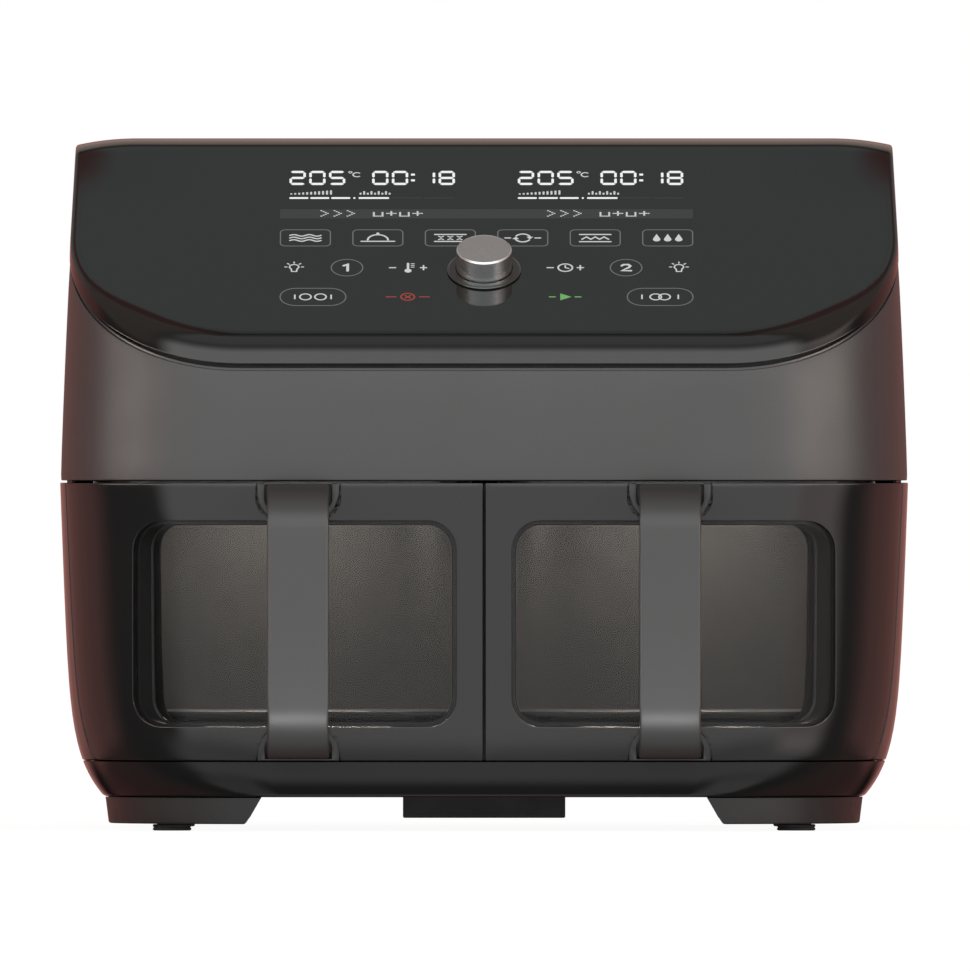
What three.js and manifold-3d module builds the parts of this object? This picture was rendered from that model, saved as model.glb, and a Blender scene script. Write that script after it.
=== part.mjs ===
// Countertop air fryer with two side-by-side drawers, a sloping control panel and one rotary knob.
// Millimetres, +Z up. X runs left to right, the drawers open towards -Y, and the origin is the centre
// of the footprint, at the surface the feet stand on.

import * as THREE from "three";
import { LoftGeometry } from "three/addons/geometries/LoftGeometry.js";
import { mergeVertices } from "three/addons/utils/BufferGeometryUtils.js";
import Module from "manifold-3d";

const wasm = await Module();
wasm.setup();

// ---------------------------------------------------------------- driving dimensions

const WIDTH = 384; // across the widest line, where the upper and lower housings meet
const DEPTH = 394; // handle fronts to rear spacer
const HEIGHT = 314; // table to the flat top

const FRONT = -167; // front face at the widest line
const REAR = 177; // flat back
const FRONT_RADIUS = 80; // plan radius of the front corners
const REAR_RADIUS = 42;
const WALL = 3; // housing wall
const GAP = 0.35; // clearance between pieces that touch

const BASE_Z = 15.4; // underside of the base pan
const SEAM_Z = 158; // widest line, where the two housings meet
const DRAWER_LOW_Z = 31.9;
const DRAWER_HIGH_Z = 157.2;
const UPPER_LOW_Z = 158.4;

const UPPER_DRAFT = Math.tan(THREE.MathUtils.degToRad(2.4)); // upper walls lean in
const LOWER_DRAFT = 0.036; // lower walls lean in towards the base
const BASE_TUCK = 14.67; // extra inset of the wall at the base
const TUCK_REACH = 17.1; // height over which that extra inset fades

const SLOPE = THREE.MathUtils.degToRad(32); // control panel, from the horizontal
const PANEL_START = { y: FRONT + 8, z: 225 }; // lowest point of the panel plane
const LID_SEAM_Z = 208; // top edge of the upper housing at the front
const LID_GAP = 3; // shadow gap below the lid
const LID_REAR_Z = 301; // the same edge behind the slope
const TOP_BEND_RADIUS = 35; // roll between the panel and the flat top
const CROWN_FLAT = 170; // half-width of the flat top before it falls to the sides
const CROWN_DROP = 4.4;

const WRAP_REAR = -108; // where the drawer front ends on the side of the body
const WINDOW = { low: 12.5, high: 158.5, bottom: 47.3, top: 140.1, radius: 13 };
const INNER_FRAME = 2; // the inner pane's outline inside the outer one
const HANDLE = {
  centre: 83.8, width: 27.6, thickness: 6, front: -DEPTH / 2, top: 156.6, bottom: 33, topBend: 20, lowBend: 25,
};
const SOCKET = { width: 37, depth: 9, wall: 1.3, radius: 8, topLow: 142, bottomHigh: 45.5 };

const TUB = { inner: 9, sideInset: 18.5, frontInset: 15, rear: 98, floor: 36, rim: 150, wall: 1.3 };
const LINER = { inner: 5.5, outer: 177, rear: 112, front: -104, floor: 32.4, top: 158, wall: 0.9 };
const SHROUD = { inner: 9, outer: 172, front: -140, rear: 104, low: 158.8, high: 199, wall: 0.9 };
const TRAY = { z: 52, thickness: 2 };
const FAN = { x: 88, y: -24, radius: 60, bladeLow: 183, bladeHigh: 195, shaftRadius: 3 };
const HEATER = { z: 172, tube: 3.2, inner: 44, outer: 64, turns: 1.75 };
const MOTOR = { radius: 27, high: 238 };
const COOLER = { radius: 38, low: 245, high: 257 };

const GLAND = { radius: 7, x: 128, z: 52 };

const KNOB = { z: 253.2, radius: 12.5, height: 12.4, ringRadius: 16.7, ringWidth: 4 };
const PANEL_THICKNESS = 2.6;
const PANEL_INSET = 4; // panel edge to the outer wall
const PANEL_REAR = -8; // the panel ends behind its roll
const LID_THICKNESS = 5.2;
const BOARD_DEPTH = 14.6; // top of the control board below the panel surface

// ---------------------------------------------------------------- finishes

const FINISHES = {
  satinCharcoal: ["#565657", 0.42, 0.35],
  drawerCharcoal: ["#474748", 0.45, 0.3],
  darkPlastic: ["#2b2b2c", 0.6, 0],
  glossPanel: ["#1d1d1f", 0.12, 0],
  brushedMetal: ["#9a9a9b", 0.3, 1],
  darkMetal: ["#4b4b4d", 0.35, 0.9],
  coatedSteel: ["#33343a", 0.5, 0.4],
  steel: ["#a5a8ab", 0.35, 1],
  glass: ["#9aa3a6", 0.05, 0],
  rubber: ["#161616", 0.9, 0],
  board: ["#1f4a33", 0.6, 0],
  display: ["#0b0b0c", 0.3, 0],
  lamp: ["#fff0cf", 0.3, 0],
  socketDark: ["#262627", 0.5, 0.2],
};

function finish(name) {
  const [color, roughness, metalness] = FINISHES[name];
  return new THREE.MeshStandardMaterial({ color, roughness, metalness });
}

// ---------------------------------------------------------------- solids

// A closed geometry as a manifold solid: shared vertices merged and collapsed triangles dropped.
function solid(geometry) {
  const bare = new THREE.BufferGeometry();
  bare.setAttribute("position", geometry.getAttribute("position").clone());
  if (geometry.index) bare.setIndex(geometry.index.clone());
  const merged = mergeVertices(bare, 1e-4);
  const index = merged.index.array;
  const kept = [];
  for (let i = 0; i < index.length; i += 3) {
    const [a, b, c] = [index[i], index[i + 1], index[i + 2]];
    if (a !== b && b !== c && c !== a) kept.push(a, b, c);
  }
  return new wasm.Manifold(new wasm.Mesh({
    numProp: 3,
    vertProperties: new Float32Array(merged.getAttribute("position").array),
    triVerts: new Uint32Array(kept),
  }));
}

function geometryOf(body) {
  const mesh = body.getMesh();
  const geometry = new THREE.BufferGeometry();
  geometry.setAttribute("position", new THREE.BufferAttribute(new Float32Array(mesh.vertProperties), 3));
  geometry.setIndex(new THREE.BufferAttribute(new Uint32Array(mesh.triVerts), 1));
  geometry.computeVertexNormals();
  return geometry;
}

function join(first, ...others) {
  return others.reduce((sum, body) => sum.add(body), first);
}

function cut(first, ...others) {
  return others.reduce((rest, body) => rest.subtract(body), first);
}

function common(first, ...others) {
  return others.reduce((shared, body) => shared.intersect(body), first);
}

// ---------------------------------------------------------------- outlines and basic shapes

function arc(centreX, centreY, radius, from, to, steps) {
  const points = [];
  for (let i = 0; i <= steps; i += 1) {
    const angle = from + ((to - from) * i) / steps;
    points.push([centreX + radius * Math.cos(angle), centreY + radius * Math.sin(angle)]);
  }
  return points;
}

// Counter-clockwise rectangle with its own radius at each corner: low-left, low-right, high-right, high-left.
function roundedRectangle(left, right, low, high, radii, steps = 5) {
  const [lowLeft, lowRight, highRight, highLeft] = radii;
  const quarter = Math.PI / 2;
  return [
    ...arc(left + lowLeft, low + lowLeft, lowLeft, 2 * quarter, 3 * quarter, steps),
    ...arc(right - lowRight, low + lowRight, lowRight, 3 * quarter, 4 * quarter, steps),
    ...arc(right - highRight, high - highRight, highRight, 0, quarter, steps),
    ...arc(left + highLeft, high - highLeft, highLeft, quarter, 2 * quarter, steps),
  ];
}

function shapeOf(points) {
  return new THREE.Shape(points.map(([x, y]) => new THREE.Vector2(x, y)));
}

function extruded(points, depth, holes = []) {
  const shape = shapeOf(points);
  shape.holes = holes.map((hole) => new THREE.Path(hole.map(([x, y]) => new THREE.Vector2(x, y))));
  return new THREE.ExtrudeGeometry(shape, { depth, bevelEnabled: false });
}

// Outline in x and y, extruded upwards.
function standing(points, low, high, holes) {
  return solid(extruded(points, high - low, holes).translate(0, 0, low));
}

// Outline in y and z, extruded along x.
function sideways(points, left, right) {
  const turn = new THREE.Matrix4().makeBasis(
    new THREE.Vector3(0, 1, 0),
    new THREE.Vector3(0, 0, 1),
    new THREE.Vector3(1, 0, 0),
  );
  return solid(extruded(points, right - left).applyMatrix4(turn).translate(left, 0, 0));
}

// Outline in x and z, extruded along y.
function facing(points, front, rear) {
  const turn = new THREE.Matrix4().makeBasis(
    new THREE.Vector3(1, 0, 0),
    new THREE.Vector3(0, 0, 1),
    new THREE.Vector3(0, -1, 0),
  );
  return solid(extruded(points, rear - front).applyMatrix4(turn).translate(0, rear, 0));
}

function block(left, right, front, rear, low, high) {
  const box = new THREE.BoxGeometry(right - left, rear - front, high - low);
  return solid(box.translate((left + right) / 2, (front + rear) / 2, (low + high) / 2));
}

// Profile of [radius, height] points turned round the vertical axis at x, y.
function turned(profile, x, y, segments = 24) {
  const points = profile.map(([radius, z]) => new THREE.Vector2(radius, z));
  const closed = profile[0][0] === 0 ? points : [...points, points[0]];
  return solid(new THREE.LatheGeometry(closed, segments).rotateX(Math.PI / 2).translate(x, y, 0));
}

function disc(radius, low, high, x, y, segments) {
  return turned([[0, low], [radius, low], [radius, high], [0, high]], x, y, segments);
}

function loft(sections) {
  return solid(new LoftGeometry(sections, { capStart: true, capEnd: true }));
}

// ---------------------------------------------------------------- body surface

function wallInset(z) {
  if (z >= SEAM_Z) return (z - SEAM_Z) * UPPER_DRAFT;
  return (SEAM_Z - z) * LOWER_DRAFT + BASE_TUCK * Math.exp((BASE_Z - z) / TUCK_REACH);
}

const halfWidthAt = (z) => WIDTH / 2 - wallInset(z);
const frontAt = (z) => FRONT + 0.9 * wallInset(z);
const rearAt = (z) => REAR - Math.max(0, z - SEAM_Z) * UPPER_DRAFT;

function bodySection(z, inset) {
  const side = halfWidthAt(z) - inset;
  const frontRadius = FRONT_RADIUS - inset;
  const rearRadius = REAR_RADIUS - inset;
  const radii = [frontRadius, frontRadius, rearRadius, rearRadius];
  const points = roundedRectangle(-side, side, frontAt(z) + inset, rearAt(z) - inset, radii, 7);
  return points.map(([x, y]) => new THREE.Vector3(x, y, z));
}

const BODY_LEVELS = [BASE_Z, 19, 24, 31, 42, 62, SEAM_Z, HEIGHT + 1];
const bodyCache = new Map();

// The outer form of the body from base to top, moved in by an inset.
function bodyForm(inset) {
  if (!bodyCache.has(inset)) bodyCache.set(inset, loft(BODY_LEVELS.map((z) => bodySection(z, inset))));
  return bodyCache.get(inset);
}

function bodySkin(outerInset, innerInset) {
  return cut(bodyForm(outerInset), bodyForm(innerInset));
}

const FAR = 260; // reaches past every wall

function slab(low, high) {
  return block(-FAR, FAR, -FAR, FAR, low, high);
}

// ---------------------------------------------------------------- sloping lid

function panelZ(y, offset = 0) {
  return PANEL_START.z + (y - PANEL_START.y) * Math.tan(SLOPE) + offset / Math.cos(SLOPE);
}

// Side outline below a line that rises with the slope and then runs flat to the back.
function belowSlope(startZ, flatZ, low) {
  const bend = FRONT + (flatZ - startZ) / Math.tan(SLOPE);
  const early = startZ - 33 * Math.tan(SLOPE);
  return [[FRONT - 33, low], [FAR, low], [FAR, flatZ], [bend, flatZ], [FRONT - 33, early]];
}

// Side outline below the top surface of the lid, sunk by a depth.
function belowTop(depth, low) {
  const radius = TOP_BEND_RADIUS - depth;
  const tangent = TOP_BEND_RADIUS * Math.tan(SLOPE / 2);
  const bendY = PANEL_START.y + (HEIGHT - PANEL_START.z) / Math.tan(SLOPE) + tangent;
  const roll = arc(bendY, HEIGHT - TOP_BEND_RADIUS, radius, Math.PI / 2, Math.PI / 2 + SLOPE, 4);
  const start = FRONT - 33;
  return [[start, low], [FAR, low], [FAR, HEIGHT - depth], ...roll, [start, panelZ(start, -depth)]];
}

function crown() {
  const edge = halfWidthAt(HEIGHT);
  return facing([
    [-FAR, 150], [FAR, 150],
    [FAR, HEIGHT - CROWN_DROP - 30], [edge, HEIGHT - CROWN_DROP], [CROWN_FLAT, HEIGHT],
    [-CROWN_FLAT, HEIGHT], [-edge, HEIGHT - CROWN_DROP], [-FAR, HEIGHT - CROWN_DROP - 30],
  ], -FAR, FAR);
}

const LID_LOW = LID_SEAM_Z + LID_GAP;
const LID_REAR_LOW = LID_REAR_Z + 2;

function topCover() {
  const outer = common(bodyForm(0), sideways(belowTop(0, 150), -FAR, FAR), crown());
  const rim = cut(outer, sideways(belowSlope(LID_LOW, LID_REAR_LOW, 100), -FAR, FAR));
  const hollow = common(bodyForm(WALL), sideways(belowTop(LID_THICKNESS, 100), -FAR, FAR));
  const pocket = panelLayer(8, PANEL_THICKNESS + GAP, PANEL_INSET, PANEL_REAR);
  const knobHole = panelCylinder(6.5, -20, 5);
  const displayHole = panelBlock(-93, 93, 53, 97, -20, 5);
  return cut(join(cut(rim, hollow), lidSkirt()), pocket, knobHole, displayHole, ...intakeSlots());
}

// Lip below the lid that runs inside the housing wall and closes the shadow gap.
function lidSkirt() {
  const ring = bodySkin(WALL + GAP, WALL + GAP + 1.6);
  const top = sideways(belowTop(LID_THICKNESS - 0.3, 100), -FAR, FAR);
  const bottom = sideways(belowSlope(LID_LOW - 11, LID_REAR_LOW - 11, 90), -FAR, FAR);
  return cut(common(ring, top), bottom);
}

// Layer between a height above the top surface and a depth below it, from the front edge to just
// behind the roll, moved in from the walls.
function panelLayer(above, depth, inset, rear) {
  const layer = cut(sideways(belowTop(-above, 150), -FAR, FAR), sideways(belowTop(depth, 140), -FAR, FAR));
  return common(layer, bodyForm(inset), block(-FAR, FAR, -FAR, rear, 0, 2 * FAR));
}

function controlPanel() {
  const layer = common(panelLayer(0, PANEL_THICKNESS, PANEL_INSET + GAP, PANEL_REAR - GAP), crown());
  return cut(layer, panelCylinder(5.5, -20, 5));
}

// Two rows of air intake slots in the flat top, near the back.
function intakeSlots() {
  const slots = [];
  for (const y of [112, 130]) {
    for (let x = -100; x <= 100; x += 40) {
      slots.push(standing(roundedRectangle(x - 15, x + 15, y, y + 6, [2.9, 2.9, 2.9, 2.9], 1), 290, 330));
    }
  }
  return slots;
}

// ---------------------------------------------------------------- places on the panel

const KNOB_Y = PANEL_START.y + (KNOB.z - PANEL_START.z) / Math.tan(SLOPE);

// Moves a geometry built round the origin, +Z outwards, to the knob's place on the panel.
function ontoPanel(geometry) {
  return geometry.rotateX(SLOPE).translate(0, KNOB_Y, KNOB.z);
}

function panelTurned(profile, segments = 24) {
  const points = profile.map(([radius, z]) => new THREE.Vector2(radius, z));
  const closed = profile[0][0] === 0 ? points : [...points, points[0]];
  return solid(ontoPanel(new THREE.LatheGeometry(closed, segments).rotateX(Math.PI / 2)));
}

function panelCylinder(radius, low, high) {
  return panelTurned([[0, low], [radius, low], [radius, high], [0, high]], 16);
}

function panelBlock(left, right, low, high, under, over) {
  const box = new THREE.BoxGeometry(right - left, high - low, over - under);
  return solid(ontoPanel(box.translate((left + right) / 2, (low + high) / 2, (under + over) / 2)));
}

// ---------------------------------------------------------------- housings

function upperHousing() {
  const sideOutline = belowSlope(LID_SEAM_Z, LID_REAR_Z - 1, UPPER_LOW_Z);
  const walls = common(bodySkin(0, WALL), sideways(sideOutline, -FAR, FAR));
  const soffit = common(bodyForm(WALL - 0.1), slab(UPPER_LOW_Z, UPPER_LOW_Z + 2));
  const openings = [-1, 1].map((side) => shroudOutline(side, GAP + 0.2, 150, 210));
  const ventOpening = block(-132, 132, REAR - 30, FAR, 176, 284);
  return cut(join(walls, cut(soffit, ...openings)), ventOpening);
}

function lowerHousing() {
  const heights = slab(DRAWER_LOW_Z, SEAM_Z - 0.4);
  const behindDrawers = block(-FAR, FAR, WRAP_REAR + 0.9, FAR, 0, FAR);
  const walls = common(bodySkin(0, WALL), heights, behindDrawers);
  const divider = common(block(-3.5, 3.5, FRONT + 17, REAR - 1, DRAWER_LOW_Z, SEAM_Z - 0.4), bodyForm(1));
  const glandOutline = arc(GLAND.x, GLAND.z, GLAND.radius + GAP, 0, 2 * Math.PI, 16).slice(0, -1);
  const glandHole = facing(glandOutline, REAR - 20, FAR);
  return cut(join(walls, divider), glandHole);
}

function basePan() {
  const heights = slab(BASE_Z, DRAWER_LOW_Z - 0.5);
  const walls = common(bodySkin(0, WALL), heights);
  const floor = common(bodyForm(WALL - 0.1), slab(BASE_Z, BASE_Z + 2));
  const vents = [];
  for (let i = -2; i <= 2; i += 1) {
    const x = i * 32;
    vents.push(standing(roundedRectangle(x - 4, x + 4, -40, 40, [3.9, 3.9, 3.9, 3.9], 1), 0, 20));
  }
  return cut(join(walls, floor), ...vents);
}

function rearCover() {
  const plate = common(
    cut(bodyForm(0.3), bodyForm(WALL)),
    block(-132 + GAP, 132 - GAP, REAR - 30, FAR, 176 + GAP, 284 - GAP),
  );
  const vents = [];
  for (let row = 0; row < 6; row += 1) {
    const z = 193 + row * 14;
    for (const x of [-75, 75]) {
      const slot = roundedRectangle(x - 42, x + 42, z, z + 5, [2.4, 2.4, 2.4, 2.4], 1);
      vents.push(facing(slot, REAR - 30, FAR));
    }
  }
  return cut(plate, ...vents);
}

function rearSpacer() {
  const outline = roundedRectangle(-37.3, 37.3, REAR + GAP, DEPTH / 2, [1, 1, 8, 8], 4);
  const grooves = [-22.8, 23.4].map((x) => block(x - 1, x + 1, DEPTH / 2 - 2, FAR, 0, 140));
  return cut(standing(outline, 3.4, 124), ...grooves);
}

// Round bushing in the back wall that the supply lead passes through.
function cordGland() {
  const { radius, x, z } = GLAND;
  const flange = radius + 3;
  const profile = [[4, -5], [radius, -5], [radius, GAP], [flange, GAP], [flange, 2.5], [radius, 4], [4, 4]];
  const points = [...profile, profile[0]].map(([across, along]) => new THREE.Vector2(across, along));
  const ring = new THREE.LatheGeometry(points, 20);
  return solid(ring.translate(x, REAR, z));
}

// ---------------------------------------------------------------- feet

// Corner foot under the base, its inner side slanting in towards the floor.
function foot(side, end) {
  const profile = [[101, BASE_Z - GAP], [107.8, 3.2], [171.6, 3.2], [174, BASE_Z - GAP]];
  const trapezoid = profile.map(([x, z]) => [side * x, z]);
  const outline = side > 0 ? trapezoid : [...trapezoid].reverse();
  const [front, rear] = end < 0 ? [FRONT, -58] : [72, REAR];
  const column = standing(bodySection(BASE_Z, 0.6).map((p) => [p.x, p.y]), 0, BASE_Z);
  return common(facing(outline, front, rear), column);
}

function footPad(side, end) {
  return disc(8.7, 0, 3.2 - GAP, side * 141.2, end < 0 ? -98 : 128, 20);
}

// ---------------------------------------------------------------- drawer

function windowPrism(grow) {
  const { low, high, bottom, top, radius } = WINDOW;
  const radii = Array(4).fill(radius + grow);
  const outline = roundedRectangle(low - grow, high + grow, bottom - grow, top + grow, radii, 4);
  return facing(outline, -220, -100);
}

function topSocketOutline(shrink, high) {
  const left = HANDLE.centre - SOCKET.width / 2 + shrink;
  const right = HANDLE.centre + SOCKET.width / 2 - shrink;
  const radius = SOCKET.radius - shrink;
  return roundedRectangle(left, right, SOCKET.topLow + shrink, high, [radius, radius, 0.2, 0.2], 4);
}

function bottomSocketOutline(shrink, low) {
  const left = HANDLE.centre - SOCKET.width / 2 + shrink;
  const right = HANDLE.centre + SOCKET.width / 2 - shrink;
  const radius = SOCKET.radius - shrink;
  return roundedRectangle(left, right, low, SOCKET.bottomHigh - shrink, [0.2, 0.2, radius, radius], 4);
}

// Side outline of the drawer front, rounded where its lower edge turns up at the back of the wrap.
function wrapOutline() {
  const radius = 7;
  const corner = arc(WRAP_REAR - radius, DRAWER_LOW_Z + radius, radius, -Math.PI / 2, 0, 3);
  return [[-220, DRAWER_LOW_Z], ...corner, [WRAP_REAR, DRAWER_HIGH_Z], [-220, DRAWER_HIGH_Z]];
}

function drawerFront() {
  const panel = common(bodySkin(0, 3.5), sideways(wrapOutline(), 0.6, FAR));
  const topCup = facing(topSocketOutline(-GAP, 170), -220, -130);
  const bottomCup = facing(bottomSocketOutline(-GAP, 20), -220, -130);
  return cut(panel, windowPrism(0), topCup, bottomCup);
}

function windowOuterGlass() {
  return common(bodySkin(0.5, 3.1), windowPrism(-GAP));
}

function windowGasket() {
  return common(bodySkin(3.5 + GAP, TUB.frontInset - GAP), cut(windowPrism(1), windowPrism(-0.8)));
}

function tubSection(z, inset) {
  const right = halfWidthAt(z) - TUB.sideInset - inset;
  const front = frontAt(z) + TUB.frontInset + inset;
  const cornerRadius = FRONT_RADIUS - TUB.frontInset - inset;
  const radii = [14 - Math.min(inset, 8), cornerRadius, 28 - inset, 28 - inset];
  const points = roundedRectangle(TUB.inner + inset, right, front, TUB.rear - inset, radii);
  return points.map(([x, y]) => new THREE.Vector3(x, y, z));
}

// Solid tub form with a rounded lower edge, moved in by an inset and raised by a floor thickness.
function tubForm(inset, floor, rim) {
  const levels = [[floor, 6.5], [floor + 2.2, 3], [floor + 6.5, 0.8], [floor + 13, 0]];
  const sections = levels.map(([z, extra]) => tubSection(z, inset + extra));
  return loft([...sections, tubSection(rim, inset)]);
}

function innerWindowPrism(grow) {
  const outline = roundedRectangle(
    WINDOW.low + INNER_FRAME - grow, WINDOW.high - INNER_FRAME + grow,
    WINDOW.bottom + INNER_FRAME - grow, WINDOW.top - INNER_FRAME + grow, Array(4).fill(11 + grow), 4,
  );
  return facing(outline, -220, -112);
}

function drawerTub() {
  const shell = cut(tubForm(0, TUB.floor, TUB.rim), tubForm(TUB.wall, TUB.floor + TUB.wall, TUB.rim + 5));
  return cut(shell, innerWindowPrism(0));
}

function windowInnerGlass() {
  const behind = tubForm(TUB.wall - 0.2, TUB.floor + TUB.wall, TUB.rim + 5);
  const pane = cut(tubForm(0.2, TUB.floor, TUB.rim), behind);
  return common(pane, innerWindowPrism(-GAP));
}

// Bent strap: out of the upper cup, down the front and back into the lower cup.
function handleStrap() {
  const { centre, width, thickness, front, top, bottom } = HANDLE;
  const { topBend, lowBend } = HANDLE;
  const end = FRONT + SOCKET.depth - SOCKET.wall - GAP;
  const lowEnd = frontAt(DRAWER_LOW_Z) + SOCKET.depth - SOCKET.wall - GAP;
  const outer = [
    ...arc(front + topBend, top - topBend, topBend, Math.PI / 2, Math.PI, 4),
    ...arc(front + lowBend, bottom + lowBend, lowBend, Math.PI, 1.5 * Math.PI, 5),
  ];
  const inner = [
    ...arc(front + lowBend, bottom + lowBend, lowBend - thickness, 1.5 * Math.PI, Math.PI, 5),
    ...arc(front + topBend, top - topBend, topBend - thickness, Math.PI, Math.PI / 2, 4),
  ];
  const outline = [
    [end, top], ...outer, [lowEnd, bottom],
    [lowEnd, bottom + thickness], ...inner, [end, top - thickness],
  ];
  return sideways(outline, centre - width / 2, centre + width / 2);
}

function handleTopSocket() {
  const { depth, wall } = SOCKET;
  const cup = facing(topSocketOutline(0, DRAWER_HIGH_Z), FRONT, FRONT + depth);
  const hollow = facing(topSocketOutline(wall, 170), FRONT - 5, FRONT + depth - wall);
  return common(cut(cup, hollow), bodyForm(0.2));
}

function handleBottomSocket() {
  const { depth, wall } = SOCKET;
  const start = frontAt(DRAWER_LOW_Z);
  const cup = facing(bottomSocketOutline(0, DRAWER_LOW_Z), FRONT, start + depth);
  const hollow = facing(bottomSocketOutline(wall, 20), FRONT - 5, start + depth - wall);
  return common(cut(cup, hollow), bodyForm(0.2));
}

// Perforated tray that stands on short legs in the tub.
function crisperTray() {
  const outline = tubSection(TRAY.z, TUB.wall + 1.5).map((p) => [p.x, p.y]);
  const holes = [];
  for (let row = 0; row < 5; row += 1) {
    for (let column = 0; column < 3; column += 1) {
      const x = 34 + column * 40;
      const y = -106 + row * 38;
      holes.push(roundedRectangle(x, x + 24, y, y + 14, Array(4).fill(6.9), 1));
    }
  }
  const plate = standing(outline, TRAY.z, TRAY.z + TRAY.thickness, holes);
  const legs = [[28, -124], [28, 74], [138, -98], [144, 74]].map(([x, y]) => (
    disc(4, TUB.floor + TUB.wall + GAP, TRAY.z + 1, x, y, 8)
  ));
  return join(plate, ...legs);
}

// ---------------------------------------------------------------- cavity

// Liner round the tub: floor that runs forward as a sill, two sides, back and a flange at the front.
function cavityLiner() {
  const { inner, outer, rear, front, floor, top, wall } = LINER;
  const shell = cut(
    standing(roundedRectangle(inner, outer, front, rear, [1, 1, 24, 24], 4), floor, top),
    standing(
      roundedRectangle(inner + wall, outer - wall, front - 30, rear - wall, [1, 1, 23, 23], 4),
      floor + wall, 200,
    ),
  );
  const flange = cut(
    common(block(inner, FAR, front, front + wall, floor, top - 1), bodyForm(WALL + 1.5)),
    block(inner + 0.5, outer - 0.5, -FAR, FAR, floor + wall / 2, 200),
  );
  const sill = common(block(inner, FAR, FRONT, front + 1, floor, floor + wall), bodyForm(12));
  return common(join(shell, flange, sill), bodyForm(WALL + 1));
}

function shroudOutline(side, grow, low, high) {
  const { inner, outer, front, rear } = SHROUD;
  const edges = side > 0 ? [inner, outer] : [-outer, -inner];
  const radii = side > 0 ? [10, 52, 24, 24] : [52, 10, 24, 24];
  const points = roundedRectangle(
    edges[0] - grow, edges[1] + grow, front - grow, rear + grow, radii.map((r) => r + grow), 4,
  );
  return standing(points, low, high);
}

// Deep cover over the heater, open below, with a hole for the fan shaft.
function heaterShroud() {
  const { low, high, wall } = SHROUD;
  const hollow = shroudOutline(1, -wall, low - 10, high - wall);
  return cut(shroudOutline(1, 0, low, high), hollow, disc(7, 150, 220, FAN.x, FAN.y, 16));
}

// Flat spiral round the fan axis, from the inner turn outwards.
class SpiralPath extends THREE.Curve {
  getPoint(t) {
    const radius = HEATER.inner + (HEATER.outer - HEATER.inner) * t;
    const angle = Math.PI / 2 + HEATER.turns * 2 * Math.PI * t;
    return new THREE.Vector3(FAN.x + radius * Math.cos(angle), FAN.y + radius * Math.sin(angle), HEATER.z);
  }
}

const SHROUD_CEILING = SHROUD.high - SHROUD.wall - GAP;

// Tubular element: a flat spiral with a tail up to the shroud at each end, clear of the fan.
function heatingElement() {
  const path = new SpiralPath();
  const section = shapeOf(arc(0, 0, HEATER.tube, 0, 2 * Math.PI, 6).slice(0, -1));
  const sweep = { extrudePath: path, steps: 38, bevelEnabled: false };
  const coil = solid(new THREE.ExtrudeGeometry(section, sweep));
  const end = path.getPoint(1);
  return join(coil, disc(HEATER.tube, HEATER.z - 2, SHROUD_CEILING, end.x, end.y, 8));
}

// Guard below the element, stamped out of a plate, on four posts from the shroud.
function heaterGuard() {
  const outline = roundedRectangle(FAN.x - 74, FAN.x + 74, FAN.y - 80, FAN.y + 80, Array(4).fill(18), 3);
  const holes = [];
  for (const [inner, outer] of [[12, 38], [42, 68]]) {
    for (let quarter = 0; quarter < 4; quarter += 1) {
      const from = quarter * Math.PI / 2 + 3 / inner / 2;
      const to = (quarter + 1) * Math.PI / 2 - 3 / inner / 2;
      const far = arc(FAN.x, FAN.y, outer, from, to, 4);
      holes.push([...far, ...arc(FAN.x, FAN.y, inner, to, from, 2)]);
    }
  }
  const posts = [-1, 1].flatMap((acrossX) => [-1, 1].map((acrossY) => (
    disc(2.2, 161, SHROUD_CEILING, FAN.x + acrossX * 66, FAN.y + acrossY * 72, 6)
  )));
  return join(standing(outline, 160.5, 161.9, holes), ...posts);
}

function bladeRing(centre, innerRadius, outerRadius, low, high, count, lean) {
  const blades = [];
  for (let i = 0; i < count; i += 1) {
    const box = new THREE.BoxGeometry(outerRadius - innerRadius, 1.6, high - low);
    box.rotateX(lean).translate((innerRadius + outerRadius) / 2, 0, (low + high) / 2);
    box.rotateZ((i * 2 * Math.PI) / count).translate(centre.x, centre.y, 0);
    blades.push(solid(box));
  }
  return blades;
}

function convectionFan() {
  const { radius, bladeLow, bladeHigh, shaftRadius } = FAN;
  const hub = disc(12, bladeLow - 1, bladeHigh, FAN.x, FAN.y, 16);
  const plate = disc(radius - 8, bladeHigh - 1.2, bladeHigh, FAN.x, FAN.y, 24);
  const shaft = disc(shaftRadius, bladeLow, COOLER.low - GAP, FAN.x, FAN.y, 10);
  return join(hub, plate, shaft, ...bladeRing(FAN, 8, radius, bladeLow, bladeHigh, 8, 0));
}

function fanMotor() {
  const { radius, high } = MOTOR;
  const low = SHROUD.high + GAP;
  const bore = FAN.shaftRadius + 0.6;
  return turned([
    [bore, low], [radius, low], [radius, high - 6], [12, high - 6], [12, high], [bore, high],
  ], FAN.x, FAN.y, 16);
}

function coolingFan() {
  const { radius, low, high } = COOLER;
  const hub = disc(13, low, high, FAN.x, FAN.y, 16);
  return join(hub, ...bladeRing(FAN, 10, radius, low + 1, high - 1, 6, 0.6));
}

function cavityLamp() {
  return turned([[0, 166], [6, 168], [8, 174], [8, SHROUD_CEILING], [0, SHROUD_CEILING]], FAN.x, 90, 12);
}

function temperatureProbe() {
  return disc(2.2, 165, SHROUD_CEILING, 150, 74, 8);
}

function drawerSwitch() {
  return block(40, 60, LINER.rear + GAP, LINER.rear + 9, 120, 131);
}

// ---------------------------------------------------------------- controls and electronics

function knobRing() {
  const outer = KNOB.ringRadius;
  const inner = outer - KNOB.ringWidth;
  return panelTurned([
    [inner, GAP], [outer, GAP], [outer, GAP + 0.5],
    [outer - 0.6, GAP + 1.1], [inner + 1, GAP + 1.1], [inner, GAP + 0.4],
  ]);
}

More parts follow.
